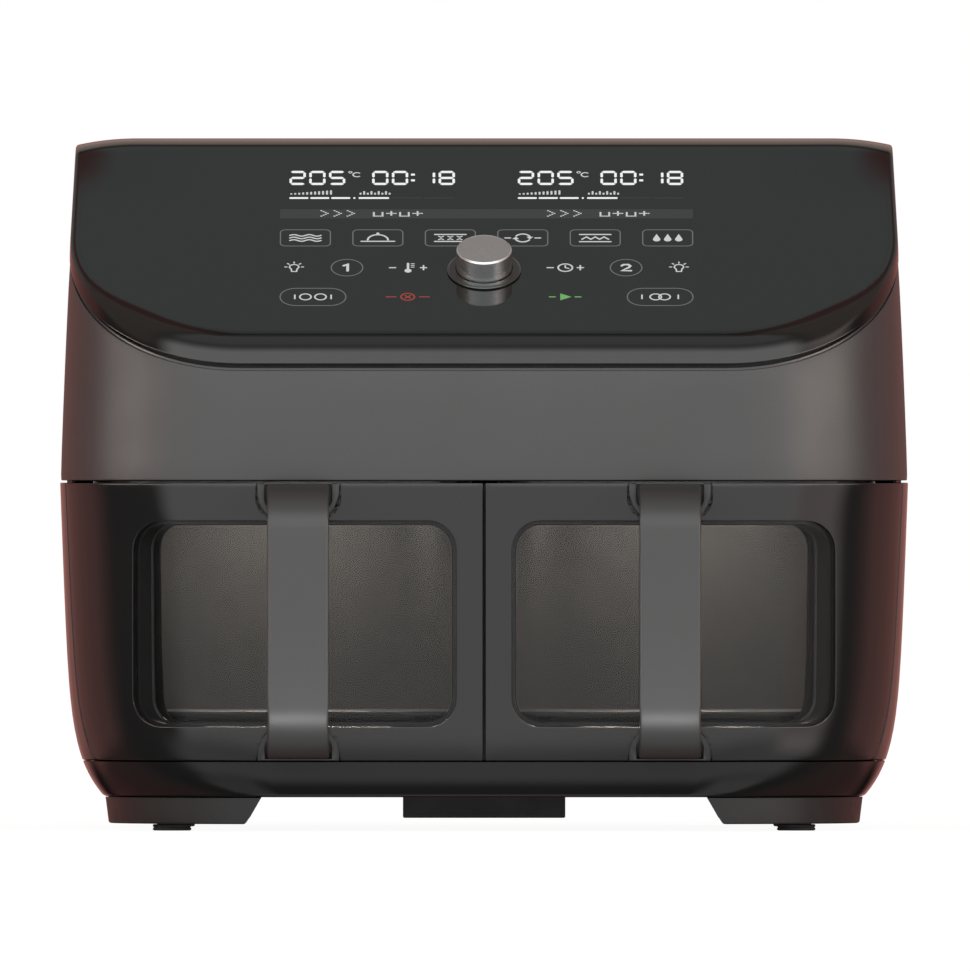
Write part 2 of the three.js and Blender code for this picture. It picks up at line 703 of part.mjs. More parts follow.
function knobCap() {
  const { radius, height } = KNOB;
  const body = panelTurned([
    [0, 0.8], [radius - 0.4, 0.8], [radius, 1.6], [radius, height - 0.8], [radius - 0.8, height], [0, height],
  ]);
  return cut(body, panelCylinder(3.4, 0, height - 3));
}

function knobEncoder() {
  const can = panelCylinder(8, GAP - BOARD_DEPTH, -8);
  const bush = panelCylinder(4.6, -8.5, 0);
  return join(can, bush, panelCylinder(3, -1, KNOB.height - 3 - GAP));
}

function displayModule() {
  return panelBlock(-92, 92, 54, 96, GAP - BOARD_DEPTH, -PANEL_THICKNESS - GAP);
}

// Board that hangs from the lid on four posts, parallel to the panel.
function controlBoard() {
  const posts = [-104, 104].flatMap((x) => [-20, 96].map((y) => (
    panelBlock(x - 2.5, x + 2.5, y - 2.5, y + 2.5, -BOARD_DEPTH - 1, -LID_THICKNESS - GAP)
  )));
  return join(panelBlock(-110, 110, -26, 102, -BOARD_DEPTH - 1.6, -BOARD_DEPTH), ...posts);
}

// Upright supply board by the back wall with its heat sink and line filter.
function powerBoard() {
  const board = block(-62, 62, 147, 148.6, 186, 268);
  const heatSink = block(-46, -14, 132, 147.5, 196, 246);
  const filter = block(12, 44, 124, 147.5, 204, 238);
  const posts = [-56, 56].flatMap((x) => [192, 262].map((z) => (
    block(x - 3, x + 3, 148, rearAt(z) - WALL - 1, z - 3, z + 3)
  )));
  return join(board, heatSink, filter, ...posts);
}

// ---------------------------------------------------------------- assembly

const airFryer = new THREE.Group();

function add(group, name, body, finishName, mirrored = false) {
  const geometry = geometryOf(body);
  if (mirrored) mirror(geometry);
  const mesh = new THREE.Mesh(geometry, finish(finishName));
  mesh.name = name;
  group.add(mesh);
}

// Reflects a geometry in the plane x = 0 and turns its triangles the right way round again.
function mirror(geometry) {
  geometry.scale(-1, 1, 1);
  const index = geometry.index.array;
  for (let i = 0; i < index.length; i += 3) [index[i], index[i + 1]] = [index[i + 1], index[i]];
}

function casing() {
  const group = new THREE.Group();
  add(group, "upper_housing", upperHousing(), "satinCharcoal");
  add(group, "lower_housing", lowerHousing(), "drawerCharcoal");
  add(group, "base_pan", basePan(), "darkPlastic");
  add(group, "top_cover", topCover(), "satinCharcoal");
  add(group, "rear_cover", rearCover(), "darkPlastic");
  add(group, "rear_spacer", rearSpacer(), "darkPlastic");
  add(group, "cord_gland", cordGland(), "rubber");
  for (const [sideName, side] of [["left", -1], ["right", 1]]) {
    for (const [endName, end] of [["front", -1], ["rear", 1]]) {
      add(group, `foot_${endName}_${sideName}`, foot(side, end), "darkPlastic");
      add(group, `foot_pad_${endName}_${sideName}`, footPad(side, end), "rubber");
    }
  }
  return group;
}

function controls() {
  const group = new THREE.Group();
  add(group, "control_panel", controlPanel(), "glossPanel");
  add(group, "display_module", displayModule(), "display");
  add(group, "control_board", controlBoard(), "board");
  add(group, "power_board", powerBoard(), "board");
  add(group, "knob_ring", knobRing(), "darkMetal");
  add(group, "knob", knobCap(), "brushedMetal");
  add(group, "knob_encoder", knobEncoder(), "darkMetal");
  return group;
}

const COOKING_PIECES = [
  ["cavity_liner", cavityLiner, "steel"],
  ["heater_shroud", heaterShroud, "steel"],
  ["heating_element", heatingElement, "darkMetal"],
  ["heater_guard", heaterGuard, "steel"],
  ["convection_fan", convectionFan, "steel"],
  ["fan_motor", fanMotor, "darkMetal"],
  ["cooling_fan", coolingFan, "darkPlastic"],
  ["cavity_lamp", cavityLamp, "lamp"],
  ["temperature_probe", temperatureProbe, "steel"],
  ["drawer_switch", drawerSwitch, "darkPlastic"],
];

const DRAWER_PIECES = [
  ["drawer_tub", drawerTub, "coatedSteel"],
  ["drawer_front", drawerFront, "drawerCharcoal"],
  ["window_outer_glass", windowOuterGlass, "glass"],
  ["window_inner_glass", windowInnerGlass, "glass"],
  ["window_gasket", windowGasket, "darkPlastic"],
  ["handle", handleStrap, "satinCharcoal"],
  ["handle_top_socket", handleTopSocket, "socketDark"],
  ["handle_bottom_socket", handleBottomSocket, "socketDark"],
  ["crisper_tray", crisperTray, "coatedSteel"],
];

function sidePieces(pieces) {
  const group = new THREE.Group();
  for (const [name, make, finishName] of pieces) {
    const body = make();
    add(group, `${name}_left`, body, finishName, true);
    add(group, `${name}_right`, body, finishName);
  }
  return group;
}

airFryer.add(casing(), controls(), sidePieces(COOKING_PIECES), sidePieces(DRAWER_PIECES));

export default airFryer;
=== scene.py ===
"""Twin-drawer countertop air fryer: fine surfaces, finishes and light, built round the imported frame.

Lengths are millimetres until a mesh is made, in the frame's own axes: +X to the right, -Y towards the
user, +Z up, with the origin at the middle of the footprint on the surface that the feet stand on.
A piece that comes in pairs is drawn on the right and mirrored for the left.
"""

import math

import bmesh
import bpy
from mathutils import Matrix, Vector


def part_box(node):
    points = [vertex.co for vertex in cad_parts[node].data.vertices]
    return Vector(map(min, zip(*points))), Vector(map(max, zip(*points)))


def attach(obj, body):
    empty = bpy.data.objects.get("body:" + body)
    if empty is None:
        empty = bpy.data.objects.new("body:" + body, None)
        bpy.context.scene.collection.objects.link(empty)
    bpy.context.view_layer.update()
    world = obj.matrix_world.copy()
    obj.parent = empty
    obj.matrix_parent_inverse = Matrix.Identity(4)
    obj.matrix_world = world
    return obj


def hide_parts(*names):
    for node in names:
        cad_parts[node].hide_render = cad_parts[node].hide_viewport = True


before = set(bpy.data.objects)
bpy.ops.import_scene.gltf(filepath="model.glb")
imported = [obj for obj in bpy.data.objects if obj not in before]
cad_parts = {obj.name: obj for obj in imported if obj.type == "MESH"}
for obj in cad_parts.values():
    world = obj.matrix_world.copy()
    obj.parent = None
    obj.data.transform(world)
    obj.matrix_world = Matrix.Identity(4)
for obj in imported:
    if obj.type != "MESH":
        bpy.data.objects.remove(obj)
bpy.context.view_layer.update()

MM = 0.001
SIDES = (("left", -1), ("right", 1))


def node_box(node):
    """Lowest and highest corner of a frame node, in millimetres."""
    low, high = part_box(node)
    return low / MM, high / MM


def clamp(value, low, high):
    return max(low, min(high, value))


def smooth(value, start, end):
    """0 before start, 1 after end, with an even curve between."""
    share = clamp((value - start) / (end - start), 0, 1)
    return share * share * (3 - 2 * share)


def lerp(a, b, share):
    return a + (b - a) * share


# ---------------------------------------------------------------- driving dimensions

HALF_WIDTH = node_box("upper_housing")[1].x + 0.02  # at the widest line
HEIGHT = node_box("top_cover")[1].z
BASE_Z = node_box("base_pan")[0].z
FRONT = -167
REAR = 177
FRONT_RADIUS = 80
REAR_RADIUS = 42
CORNER_X = HALF_WIDTH - FRONT_RADIUS  # axis of the round front corner
CORNER_Y = FRONT + FRONT_RADIUS
WALL = 3
CLEARANCE = 0.35
SEAM_Z = 158  # between the drawers and the upper housing
UPPER_DRAFT = math.tan(math.radians(2.4))
LOWER_DRAFT = 0.036
BASE_TUCK = 14.67  # how far the wall curves in at its foot
TUCK_REACH = 17.1

SLOPE = math.radians(32)  # control panel, from the horizontal
RISE = math.tan(SLOPE)
PANEL_Y = FRONT + 8
PANEL_Z = 225
PANEL_INSET = 4
PANEL_REAR = -8
ROLL_RADIUS = 35  # between the panel and the flat top
ROLL_Z = HEIGHT - ROLL_RADIUS
ROLL_Y = PANEL_Y + (HEIGHT - PANEL_Z) / RISE + ROLL_RADIUS * math.tan(SLOPE / 2)
ROLL_START = ROLL_Y - ROLL_RADIUS * math.sin(SLOPE)
LID_SEAM_Z = 208
LID_REAR_Z = 300
LID_GAP = 3

WRAP_REAR = -108  # where a drawer's face ends on the side
DRAWER_LOW_Z = 31.9
DRAWER_HIGH_Z = 157.2
WINDOW_LEFT, WINDOW_RIGHT = 12.5, 158.5
WINDOW_LOW, WINDOW_HIGH = 47.3, 140.1
WINDOW_RADIUS = 13
HANDLE_X = 83.8
KNOB_Z = 253.2
KNOB_Y = PANEL_Y + (KNOB_Z - PANEL_Z) / RISE


# ---------------------------------------------------------------- body surface

def wall_inset(z):
    """How far the outer wall stands inside the widest line."""
    if z >= SEAM_Z:
        return (z - SEAM_Z) * UPPER_DRAFT
    return (SEAM_Z - z) * LOWER_DRAFT + BASE_TUCK * math.exp((BASE_Z - z) / TUCK_REACH)


def front_at(z):
    return FRONT + 0.9 * wall_inset(z)


def rear_at(z):
    return REAR - max(0, z - SEAM_Z) * UPPER_DRAFT


def on_wall(station, z, depth=0.0):
    """Point of the body at a height, moved in from the outer wall at a plan station (x, y, nx, ny)."""
    x, y, nx, ny = station
    across = clamp(x / CORNER_X, -1, 1)
    back = clamp((y - CORNER_Y) / (REAR - REAR_RADIUS - CORNER_Y), 0, 1)
    push = lerp(front_at(z) - FRONT, rear_at(z) - REAR, back)
    return (x - nx * depth - across * wall_inset(z), y - ny * depth + push, z)


def corner_stations(side, centre_y, radius, start, steps):
    """Stations on a quarter turn of the plan, from an angle in degrees that starts straight forward."""
    stations = []
    for i in range(steps + 1):
        angle = math.radians(lerp(start, start + 90, i / steps))
        nx, ny = side * math.sin(angle), -math.cos(angle)
        stations.append((side * (HALF_WIDTH - radius) + radius * nx, centre_y + radius * ny, nx, ny))
    return stations


def side_stations(side):
    """Stations from the front edge's end round one side to the rear edge's end."""
    front_arc = corner_stations(side, CORNER_Y, FRONT_RADIUS, 0, 22)
    rear_arc = corner_stations(side, REAR - REAR_RADIUS, REAR_RADIUS, 90, 14)
    slope = [lerp(front_arc[-1][1], ROLL_START - 4, i / 5) for i in range(1, 6)]
    roll = [lerp(ROLL_START - 2, PANEL_REAR - 0.1, i / 11) for i in range(12)]
    flat = [lerp(PANEL_REAR, rear_arc[0][1], i / 12) for i in range(12)]
    straight = [(side * HALF_WIDTH, y, side, 0) for y in (*slope, *roll, *flat)]
    return [*front_arc, *straight, *rear_arc]


ACROSS = [math.sin(lerp(-1, 1, i / 44) * math.pi / 2) for i in range(45)]
RIGHT = side_stations(1)
LEFT = side_stations(-1)
FRONT_EDGE = [(s * CORNER_X, FRONT, 0, -1) for s in ACROSS]
REAR_EDGE = [(s * (HALF_WIDTH - REAR_RADIUS), REAR, 0, 1) for s in ACROSS]
PLAN = [*FRONT_EDGE[:-1], *RIGHT, *REAR_EDGE[-2:0:-1], *LEFT[::-1][:-1]]


def wall_rings(profile, ground=None):
    """Rings round the body for (depth, height) pairs; ground gives the level that heights start from."""
    return [[on_wall(s, z + (ground(s[1]) if ground else 0), depth) for s in PLAN] for depth, z in profile]


# ---------------------------------------------------------------- mesh building

class Form:
    """Points and faces of one piece, in millimetres."""

    def __init__(self):
        self.points = []
        self.faces = []

    def loops(self, loops, closed=True, wrapped=False, skip=None):
        """Quads between successive loops of the same length; wrapped joins the last loop to the first."""
        rows = []
        for loop in loops:
            start = len(self.points)
            self.points.extend(loop)
            rows.append(range(start, len(self.points)))
        following = [*rows[1:], rows[0]] if wrapped else rows[1:]
        for r, (low, high) in enumerate(zip(rows, following)):
            count = len(low)
            for k in range(count if closed else count - 1):
                if not (skip and skip(r, k)):
                    n = (k + 1) % count
                    self.faces.append((low[k], low[n], high[n], high[k]))
        return rows

    def cap(self, row):
        self.faces.append(tuple(row))

    def tube(self, loops):
        """Closed form through a run of loops with flat ends."""
        rows = self.loops(loops)
        self.cap(rows[0])
        self.cap(rows[-1])

    def shell(self, outer, inner, closed=True, skip=None):
        """Two skins of matching loops, joined along every open edge."""
        self.loops(outer, closed, skip=skip)
        shift = len(self.points)
        edges = dict.fromkeys((a, b) for f in self.faces for a, b in zip(f, f[1:] + f[:1]))
        self.loops(inner, closed, skip=skip)
        self.faces += [(b, a, a + shift, b + shift) for a, b in edges if (b, a) not in edges]

    def add(self, other):
        shift = len(self.points)
        self.points += other.points
        self.faces += [tuple(i + shift for i in face) for face in other.faces]

    def moved(self, matrix):
        self.points = [tuple(matrix @ Vector(p)) for p in self.points]
        return self

    def mirrored(self, side):
        self.points = [(side * x, y, z) for x, y, z in self.points]
        return self


def make_object(name, form, angle=34, weighted=True):
    mesh = bpy.data.meshes.new(name)
    mesh.from_pydata([[c * MM for c in p] for p in form.points], [], form.faces)
    return dress_mesh(name, mesh, angle, weighted)


def dress_mesh(name, mesh, angle, weighted):
    """Welds the mesh, turns its faces outwards, smooths it between sharp edges and makes its object."""
    work = bmesh.new()
    work.from_mesh(mesh)
    bmesh.ops.remove_doubles(work, verts=work.verts, dist=0.002 * MM)
    bmesh.ops.dissolve_degenerate(work, edges=work.edges, dist=0.001 * MM)
    loose = [v for v in work.verts if not v.link_faces]
    bmesh.ops.delete(work, geom=loose, context="VERTS")
    bmesh.ops.recalc_face_normals(work, faces=work.faces)
    work.to_mesh(mesh)
    work.free()
    mesh.polygons.foreach_set("use_smooth", [True] * len(mesh.polygons))
    mesh.set_sharp_from_angle(angle=math.radians(angle))
    made = bpy.data.objects.new(name, mesh)
    bpy.context.scene.collection.objects.link(made)
    if weighted:
        made.modifiers.new("weighted", "WEIGHTED_NORMAL").keep_sharp = True
    return made


def finish_piece(made, body, slot, node=None, finish=None):
    """Gives a piece its body and its finish, the slot's own unless another is named, and hides the frame node
    it stands for.
    """
    made.data.materials.clear()
    made.data.materials.append(FINISH[finish or slot])
    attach(made, body)
    if node:
        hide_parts(node)
    return made


def add_piece(name, form, body, slot, node=None, finish=None, angle=34, weighted=True):
    return finish_piece(make_object(name, form, angle, weighted), body, slot, node, finish)


def round_edges(made, width, segments=2):
    modifier = made.modifiers.new("rounded", "BEVEL")
    modifier.width = width * MM
    modifier.segments = segments
    modifier.limit_method = "ANGLE"
    modifier.angle_limit = math.radians(40)
    modifier.harden_normals = True


def thicken(made, thickness):
    """Gives an open skin that faces upwards its thickness, on its under side."""
    if sum(face.normal.z * face.area for face in made.data.polygons) < 0:
        made.data.flip_normals()
    sides = {}
    for face in made.data.polygons:
        for key in face.edge_keys:
            sides[key] = sides.get(key, 0) + 1
    for edge in made.data.edges:
        edge.use_edge_sharp = edge.use_edge_sharp or sides[edge.key] == 1
    modifier = made.modifiers.new("thickness", "SOLIDIFY")
    modifier.thickness = thickness * MM
    modifier.offset = -1


def evaluated_mesh(made):
    """A new mesh of what an object becomes after its modifiers."""
    bpy.context.view_layer.update()
    return bpy.data.meshes.new_from_object(made.evaluated_get(bpy.context.evaluated_depsgraph_get()))


def cut_with(made, form, angle=34):
    """Cuts a form out of a piece's mesh."""
    tool = make_object("cutter", form, weighted=False)
    modifier = made.modifiers.new("cut", "BOOLEAN")
    modifier.operation = "DIFFERENCE"
    modifier.solver = "EXACT"
    modifier.object = tool
    result = evaluated_mesh(made)
    made.modifiers.remove(modifier)
    made.data = result
    result.set_sharp_from_angle(angle=math.radians(angle))
    bpy.data.objects.remove(tool)


def arc(cx, cy, radius, start, end, steps):
    """Points on an arc, angles in degrees."""
    points = []
    for i in range(steps + 1):
        angle = math.radians(lerp(start, end, i / steps))
        points.append((cx + radius * math.cos(angle), cy + radius * math.sin(angle)))
    return points


def circle(x, y, radius, steps=32):
    return arc(x, y, radius, 0, 360, steps)[:-1]


def rounded_rectangle(left, right, low, high, radii, steps=8):
    """Counter-clockwise outline; radii run low-left, low-right, high-right, high-left."""
    a, b, c, d = radii
    return [
        *arc(left + a, low + a, a, 180, 270, steps),
        *arc(right - b, low + b, b, 270, 360, steps),
        *arc(right - c, high - c, c, 0, 90, steps),
        *arc(left + d, high - d, d, 90, 180, steps),
    ]


def resampled(points, count):
    """The same open line through count + 1 evenly spaced points."""
    lengths = [0.0]
    for a, b in zip(points, points[1:]):
        lengths.append(lengths[-1] + math.dist(a, b))
    result, k = [], 0
    for i in range(count + 1):
        target = lengths[-1] * i / count
        while k < len(points) - 2 and lengths[k + 1] < target:
            k += 1
        share = clamp((target - lengths[k]) / max(lengths[k + 1] - lengths[k], 1e-9), 0, 1)
        result.append(tuple(lerp(a, b, share) for a, b in zip(points[k], points[k + 1])))
    return result


def densified(points, step):
    """A closed outline with no stretch longer than a step."""
    result = []
    for a, b in zip(points, points[1:] + points[:1]):
        count = max(1, math.ceil(math.dist(a, b) / step))
        result += [tuple(lerp(p, q, i / count) for p, q in zip(a, b)) for i in range(count)]
    return result


def offset_loop(points, distance):
    """A counter-clockwise loop moved outwards by a distance, with mitred corners."""
    moved = []
    for i, (x, y) in enumerate(points):
        before, after = points[i - 1], points[(i + 1) % len(points)]
        ax, ay = x - before[0], y - before[1]
        bx, by = after[0] - x, after[1] - y
        la, lb = math.hypot(ax, ay) or 1, math.hypot(bx, by) or 1
        nx, ny = ay / la + by / lb, -ax / la - bx / lb
        scale = distance / max((nx * nx + ny * ny) / 2, 0.4)
        moved.append((x + nx * scale, y + ny * scale))
    return moved


def plate(name, outlines, low, high, edge):
    """Flat plate with rounded edges between two heights: an outline, and any holes inside it."""
    curve = bpy.data.curves.new(name, "CURVE")
    curve.dimensions = "2D"
    curve.fill_mode = "BOTH"
    for outline in outlines:
        spline = curve.splines.new("POLY")
        spline.points.add(len(outline) - 1)
        for point, (x, y) in zip(spline.points, outline):
            point.co = (x * MM, y * MM, 0, 1)
        spline.use_cyclic_u = True
    curve.extrude = ((high - low) / 2 - edge) * MM
    curve.bevel_depth = edge * MM
    curve.bevel_resolution = 2
    curve.offset = -edge * MM
    carrier = bpy.data.objects.new(name, curve)
    bpy.context.scene.collection.objects.link(carrier)
    mesh = evaluated_mesh(carrier)
    bpy.data.objects.remove(carrier)
    bpy.data.curves.remove(curve)
    mesh.transform(Matrix.Translation((0, 0, (low + high) / 2 * MM)))
    return dress_mesh(name, mesh, 34, False)


def lathe(profile, steps=48):
    """Profile of (radius, height) points turned round the z axis, with a cap on an end beside the axis."""
    form = Form()
    loops = [[(x, y, z) for x, y in circle(0, 0, radius, steps)] for radius, z in profile]
    rows = form.loops(loops, wrapped=True)
    for (radius, _z), row in zip(profile, rows):
        if radius <= 0.02:
            form.cap(row)
    return form


def panel_place(unit=1):
    """Matrix from the panel's own plane, with the knob's axis at its origin, to the frame."""
    return Matrix.Translation((0, KNOB_Y * unit, KNOB_Z * unit)) @ Matrix.Rotation(SLOPE, 4, "X")


# ---------------------------------------------------------------- materials

def add_node(tree, kind, values=None, **settings):
    """Adds a shader node and gives its outputs; a value that is a socket becomes a link."""
    node = tree.nodes.new("ShaderNode" + kind)
    for key, value in settings.items():
        setattr(node, key, value)
    for key, value in (values or {}).items():
        if isinstance(value, bpy.types.NodeSocket):
            tree.links.new(value, node.inputs[key])
        else:
            node.inputs[key].default_value = value
    return node.outputs


def calculated(tree, operation, *values):
    return add_node(tree, "Math", dict(enumerate(values)), operation=operation)["Value"]


def shader_of(material):
    return material.node_tree.nodes["Principled BSDF"]


def principled(name, base, roughness, **settings):
    """A Principled material whose even values sit on the shader's own sockets."""
    material = bpy.data.materials.new(name)
    material.use_nodes = True
    inputs = shader_of(material).inputs
    inputs["Base Color"].default_value = (*base, 1)
    inputs["Roughness"].default_value = roughness
    for key, value in settings.items():
        inputs[key.replace("_", " ")].default_value = value
    return material


def noise_of(material, scale, detail, stretch=(1, 1, 1)):
    """Noise in the object's own space; scale counts features per metre."""
    tree = material.node_tree
    where = add_node(tree, "TexCoord")["Object"]
    mapped = add_node(tree, "Mapping", {"Vector": where, "Scale": stretch})["Vector"]
    return add_node(tree, "TexNoise", {"Vector": mapped, "Scale": scale, "Detail": detail})["Fac"]


def add_bump(material, height, strength, distance):
    """Fine relief from a height; distance is in millimetres."""
    tree = material.node_tree
    values = {"Strength": strength, "Distance": distance * MM, "Height": height}
    tree.links.new(add_node(tree, "Bump", values)["Normal"], shader_of(material).inputs["Normal"])


def vary_roughness(material, height, low, high):
    tree = material.node_tree
    values = {"Value": height, "From Min": 0.3, "From Max": 0.7, "To Min": low, "To Max": high}
    tree.links.new(add_node(tree, "MapRange", values)["Result"], shader_of(material).inputs["Roughness"])


def vary_colour(material, height, dark, light):
    tree = material.node_tree
    ramp = tree.nodes.new("ShaderNodeValToRGB")
    for stop, position, colour in zip(ramp.color_ramp.elements, (0.35, 0.65), (dark, light)):
        stop.position = position
        stop.color = (*colour, 1)
    tree.links.new(height, ramp.inputs["Fac"])
    tree.links.new(ramp.outputs["Color"], shader_of(material).inputs["Base Color"])


def satin_metal():
    """Powder-coated steel: fine grain under a soft sheen."""
    material = principled("satin charcoal", [0.03] * 3, 0.4, Specular_IOR_Level=0.56)
    add_bump(material, noise_of(material, 5200, 2), 0.22, 0.02)
    vary_roughness(material, noise_of(material, 38, 3), 0.38, 0.43)
    vary_colour(material, noise_of(material, 2600, 2), [0.027] * 3, [0.033] * 3)
    return material


def smooth_plastic(name, grey, roughness, bump=0.05, specular=0.5):
    """Moulded plastic with the slight waviness of a mould."""
    material = principled(name, [grey] * 3, roughness, Specular_IOR_Level=specular)
    add_bump(material, noise_of(material, 26, 2), bump, 0.08)
    vary_roughness(material, noise_of(material, 140, 4), roughness * 0.9, roughness * 1.12)
    return material


def grained_plastic(name, grey, roughness):
    """Matt moulded plastic with an eroded grain."""
    material = principled(name, [grey] * 3, roughness)
    add_bump(material, noise_of(material, 1500, 4), 0.5, 0.06)
    vary_roughness(material, noise_of(material, 60, 3), roughness * 0.92, roughness * 1.08)
    return material


def sheet_metal():
    """Rolled sheet with faint lengthwise grain."""
    grey, roughness = 0.5, 0.32
    material = principled("rolled steel", (grey, grey, grey * 1.01), roughness, Metallic=1.0)
    grain = noise_of(material, 900, 3, (0.06, 1, 1))
    add_bump(material, grain, 0.12, 0.02)
    vary_roughness(material, grain, roughness * 0.85, roughness * 1.2)
    return material


def spun_metal(name, grey):
    """Turned metal: fine rings round the piece's own axis."""
    roughness = 0.3
    material = principled(name, (grey * 0.97, grey, grey), roughness, Metallic=1.0)
    tree = material.node_tree
    place = add_node(tree, "SeparateXYZ", {"Vector": add_node(tree, "TexCoord")["Object"]})
    flat = add_node(tree, "CombineXYZ", {"X": place["X"], "Y": place["Y"]})["Vector"]
    radius = add_node(tree, "VectorMath", {0: flat}, operation="LENGTH")["Value"]
    along = calculated(tree, "ADD", radius, place["Z"])
    values = {"W": along, "Scale": 5200, "Detail": 2}
    rings = add_node(tree, "TexNoise", values, noise_dimensions="1D")["Fac"]
    add_bump(material, rings, 0.35, 0.02)
    vary_roughness(material, rings, roughness * 0.8, roughness * 1.25)
    return material


def coated_pan():
    """Dark non-stick coating, slightly cloudy."""
    material = principled("non-stick coating", (0.05, 0.049, 0.048), 0.38)
    vary_colour(material, noise_of(material, 90, 3), (0.046, 0.045, 0.044), (0.053, 0.052, 0.051))
    return material


def window_glass():
    """Tinted glass: a soft dark tint over what lies behind, under a clear reflection."""
    return principled("tinted glass", (0.008, 0.008, 0.008), 0.03, IOR=1.5, Alpha=0.2)


def circuit_board_finish():
    material = principled("solder mask", (0.012, 0.07, 0.03), 0.35)
    streaks = noise_of(material, 420, 1, (1, 0.08, 1))
    vary_colour(material, streaks, (0.01, 0.06, 0.026), (0.02, 0.11, 0.05))
    return material


def glow(name, colour, strength, base=(0, 0, 0), gloss=0.0):
    """Lit print or glass, or a painted glow on print and on unlit display segments: emission over a base
    colour.
    """
    return principled(name, base, 0.4, Specular_IOR_Level=gloss, Emission_Color=(*colour, 1),
                      Emission_Strength=strength)


WHITE = (1, 1, 1)
INK = {
    "bright": glow("lit digits", WHITE, 0.92),
    "label": glow("lit symbols", WHITE, 0.62),
    # the printed key outlines: a painted glow, emission in place of the light that white print would catch
    "line": glow("printed outlines, painted glow", WHITE, 0.17),
    "band": glow("message band", WHITE, 0.058),
    # unlit display segments: a faint painted glow
    "dim": glow("unlit segments, painted glow", WHITE, 0.052),
    "stop": glow("red symbol", (1, 0.2, 0.17), 0.34),
    "go": glow("green symbol", (0.39, 1, 0.32), 0.42),
}
FINISH = {
    **INK,
    "satin_charcoal": satin_metal(),
    "drawer_charcoal": smooth_plastic("gloss charcoal", 0.013, 0.09),
    "foot_plastic": smooth_plastic("foot plastic", 0.011, 0.45, specular=0.36),
    "dark_plastic": grained_plastic("grained black plastic", 0.02, 0.42),
    "gloss_panel": smooth_plastic("gloss panel", 0.007, 0.06, 0.02),
    "brushed_metal": spun_metal("spun aluminium", 0.66),
    "dark_metal": spun_metal("dark spun metal", 0.12),
    "coated_steel": coated_pan(),
    "bare_steel": sheet_metal(),
    "clear_glass": window_glass(),
    "black_rubber": grained_plastic("rubber", 0.012, 0.75),
    "circuit_board": circuit_board_finish(),
    "display_black": principled("display", (0.01, 0.01, 0.011), 0.2),
    "lamp_glass": glow("lit lamp", (1.0, 0.72, 0.42), 2.5, (0.8, 0.75, 0.65), 0.5),
    "socket_dark": smooth_plastic("socket plastic", 0.03, 0.3),
}


# ---------------------------------------------------------------- lid surface

FRONT_ROUND = 17  # radius of the lid's front edge, which tightens towards the sides
SIDE_ROUND = 2
REAR_ROUND = 1.3
BAND_TILT = 9  # of the band below the round, in degrees, where the lid slopes
BAND_LEAN = math.tan(math.radians(BAND_TILT)) - UPPER_DRAFT
LID_THICK = 5.2
DECK_DEPTH = 10
POCKET = 2.95  # depth of the lid's seat for the control panel
JOINT = 0.02  # hairline between the lid and the panel
CROWN = 0.0005  # of the slope beyond a distance from the middle, per square millimetre
CROWN_START = 115
FALL = 3.1  # of the flat top at its sides
FALL_START = 158
FALL_REACH = 27.5
BEND_START, BEND_END = -60, -10  # where the slope's edge turns into the flat top's


def lid_seam(y):
    """Height of the upper housing's top edge above a point of the plan."""
    return min(LID_SEAM_Z + (y - FRONT) * RISE, LID_REAR_Z)


def band_low(y):
    return lid_seam(y) + LID_GAP


def lid_line(y):
    """Side line of the lid's top: slope, roll, flat."""
    if y < ROLL_START:
        return PANEL_Z + (y - PANEL_Y) * RISE
    if y < ROLL_Y:
        return ROLL_Z + math.sqrt(ROLL_RADIUS**2 - (ROLL_Y - y) ** 2)
    return HEIGHT


def lid_top(x, y):
    """Height of the lid: a faint crown towards the sides of the slope, and a soft fall on the flat."""
    crown = CROWN * max(0, abs(x) - CROWN_START) ** 2
    fall = FALL * clamp((abs(x) - FALL_START) / FALL_REACH, 0, 1.1) ** 2
    return lid_line(y) - lerp(crown, fall, smooth(y, BEND_START, BEND_END - 5))


def uprightness(station):
    """0 where the lid's band leans out at the front, 1 where it follows the wall."""
    _x, y, nx, _ny = station
    return max(smooth(y, BEND_START, BEND_END), smooth(abs(nx), 0.75, 0.98))


def edge_drop(depth, station):
    """Fall of the lid towards its edge: an arc from the top's own tilt down to nearly upright."""
    _x, y, nx, ny = station
    level = smooth(y, BEND_START, BEND_END)
    tilt = SLOPE * abs(ny) * (1 - level)
    radius = lerp(lerp(FRONT_ROUND, SIDE_ROUND, smooth(abs(nx), 0.55, 0.98)), REAR_ROUND, level)
    top = math.pi / 2 - tilt
    reach = radius * (math.cos(math.radians(lerp(BAND_TILT, 1, uprightness(station)))) - math.cos(top))
    if depth >= reach:
        return 0
    across = math.cos(top) + (reach - depth) / radius
    return radius * (math.sin(top) - math.sqrt(1 - across**2)) - (reach - depth) * math.tan(tilt)


def on_lid(station, depth, sink=0.0):
    """Point of the lid's top at a plan station and depth from the wall, sunk by a height."""
    z = lid_line(station[1])
    for _ in range(3):
        x, y, _z = on_wall(station, z, depth)
        z = lid_top(x, y) - edge_drop(depth, station)
    return (x, y, z - sink)


def pocket_at(station):
    return POCKET if station[1] < PANEL_REAR else 0


def lid_rank(left, right, sink):
    """Row of points across the lid between two stations, ends included."""
    a, b = on_lid(left, DECK_DEPTH, sink), on_lid(right, DECK_DEPTH, sink)
    points = [a]
    for s in ACROSS[1:-1]:
        x, y = (lerp(a[i], b[i], (s + 1) / 2) for i in (0, 1))
        points.append((x, y, lid_top(x, y) - sink))
    return [*points, b]


def lid_ranks(last, sink_at):
    """Rows across the lid from the front edge to a side station's index."""
    ranks = []
    for k, station in enumerate(RIGHT[:last]):
        sink = sink_at(station)
        edge = {0: FRONT_EDGE, len(RIGHT) - 1: REAR_EDGE}.get(k)
        if edge:
            ranks.append([on_lid(s, DECK_DEPTH, sink) for s in edge])
        else:
            ranks.append(lid_rank(LEFT[k], RIGHT[k], sink))
    return ranks


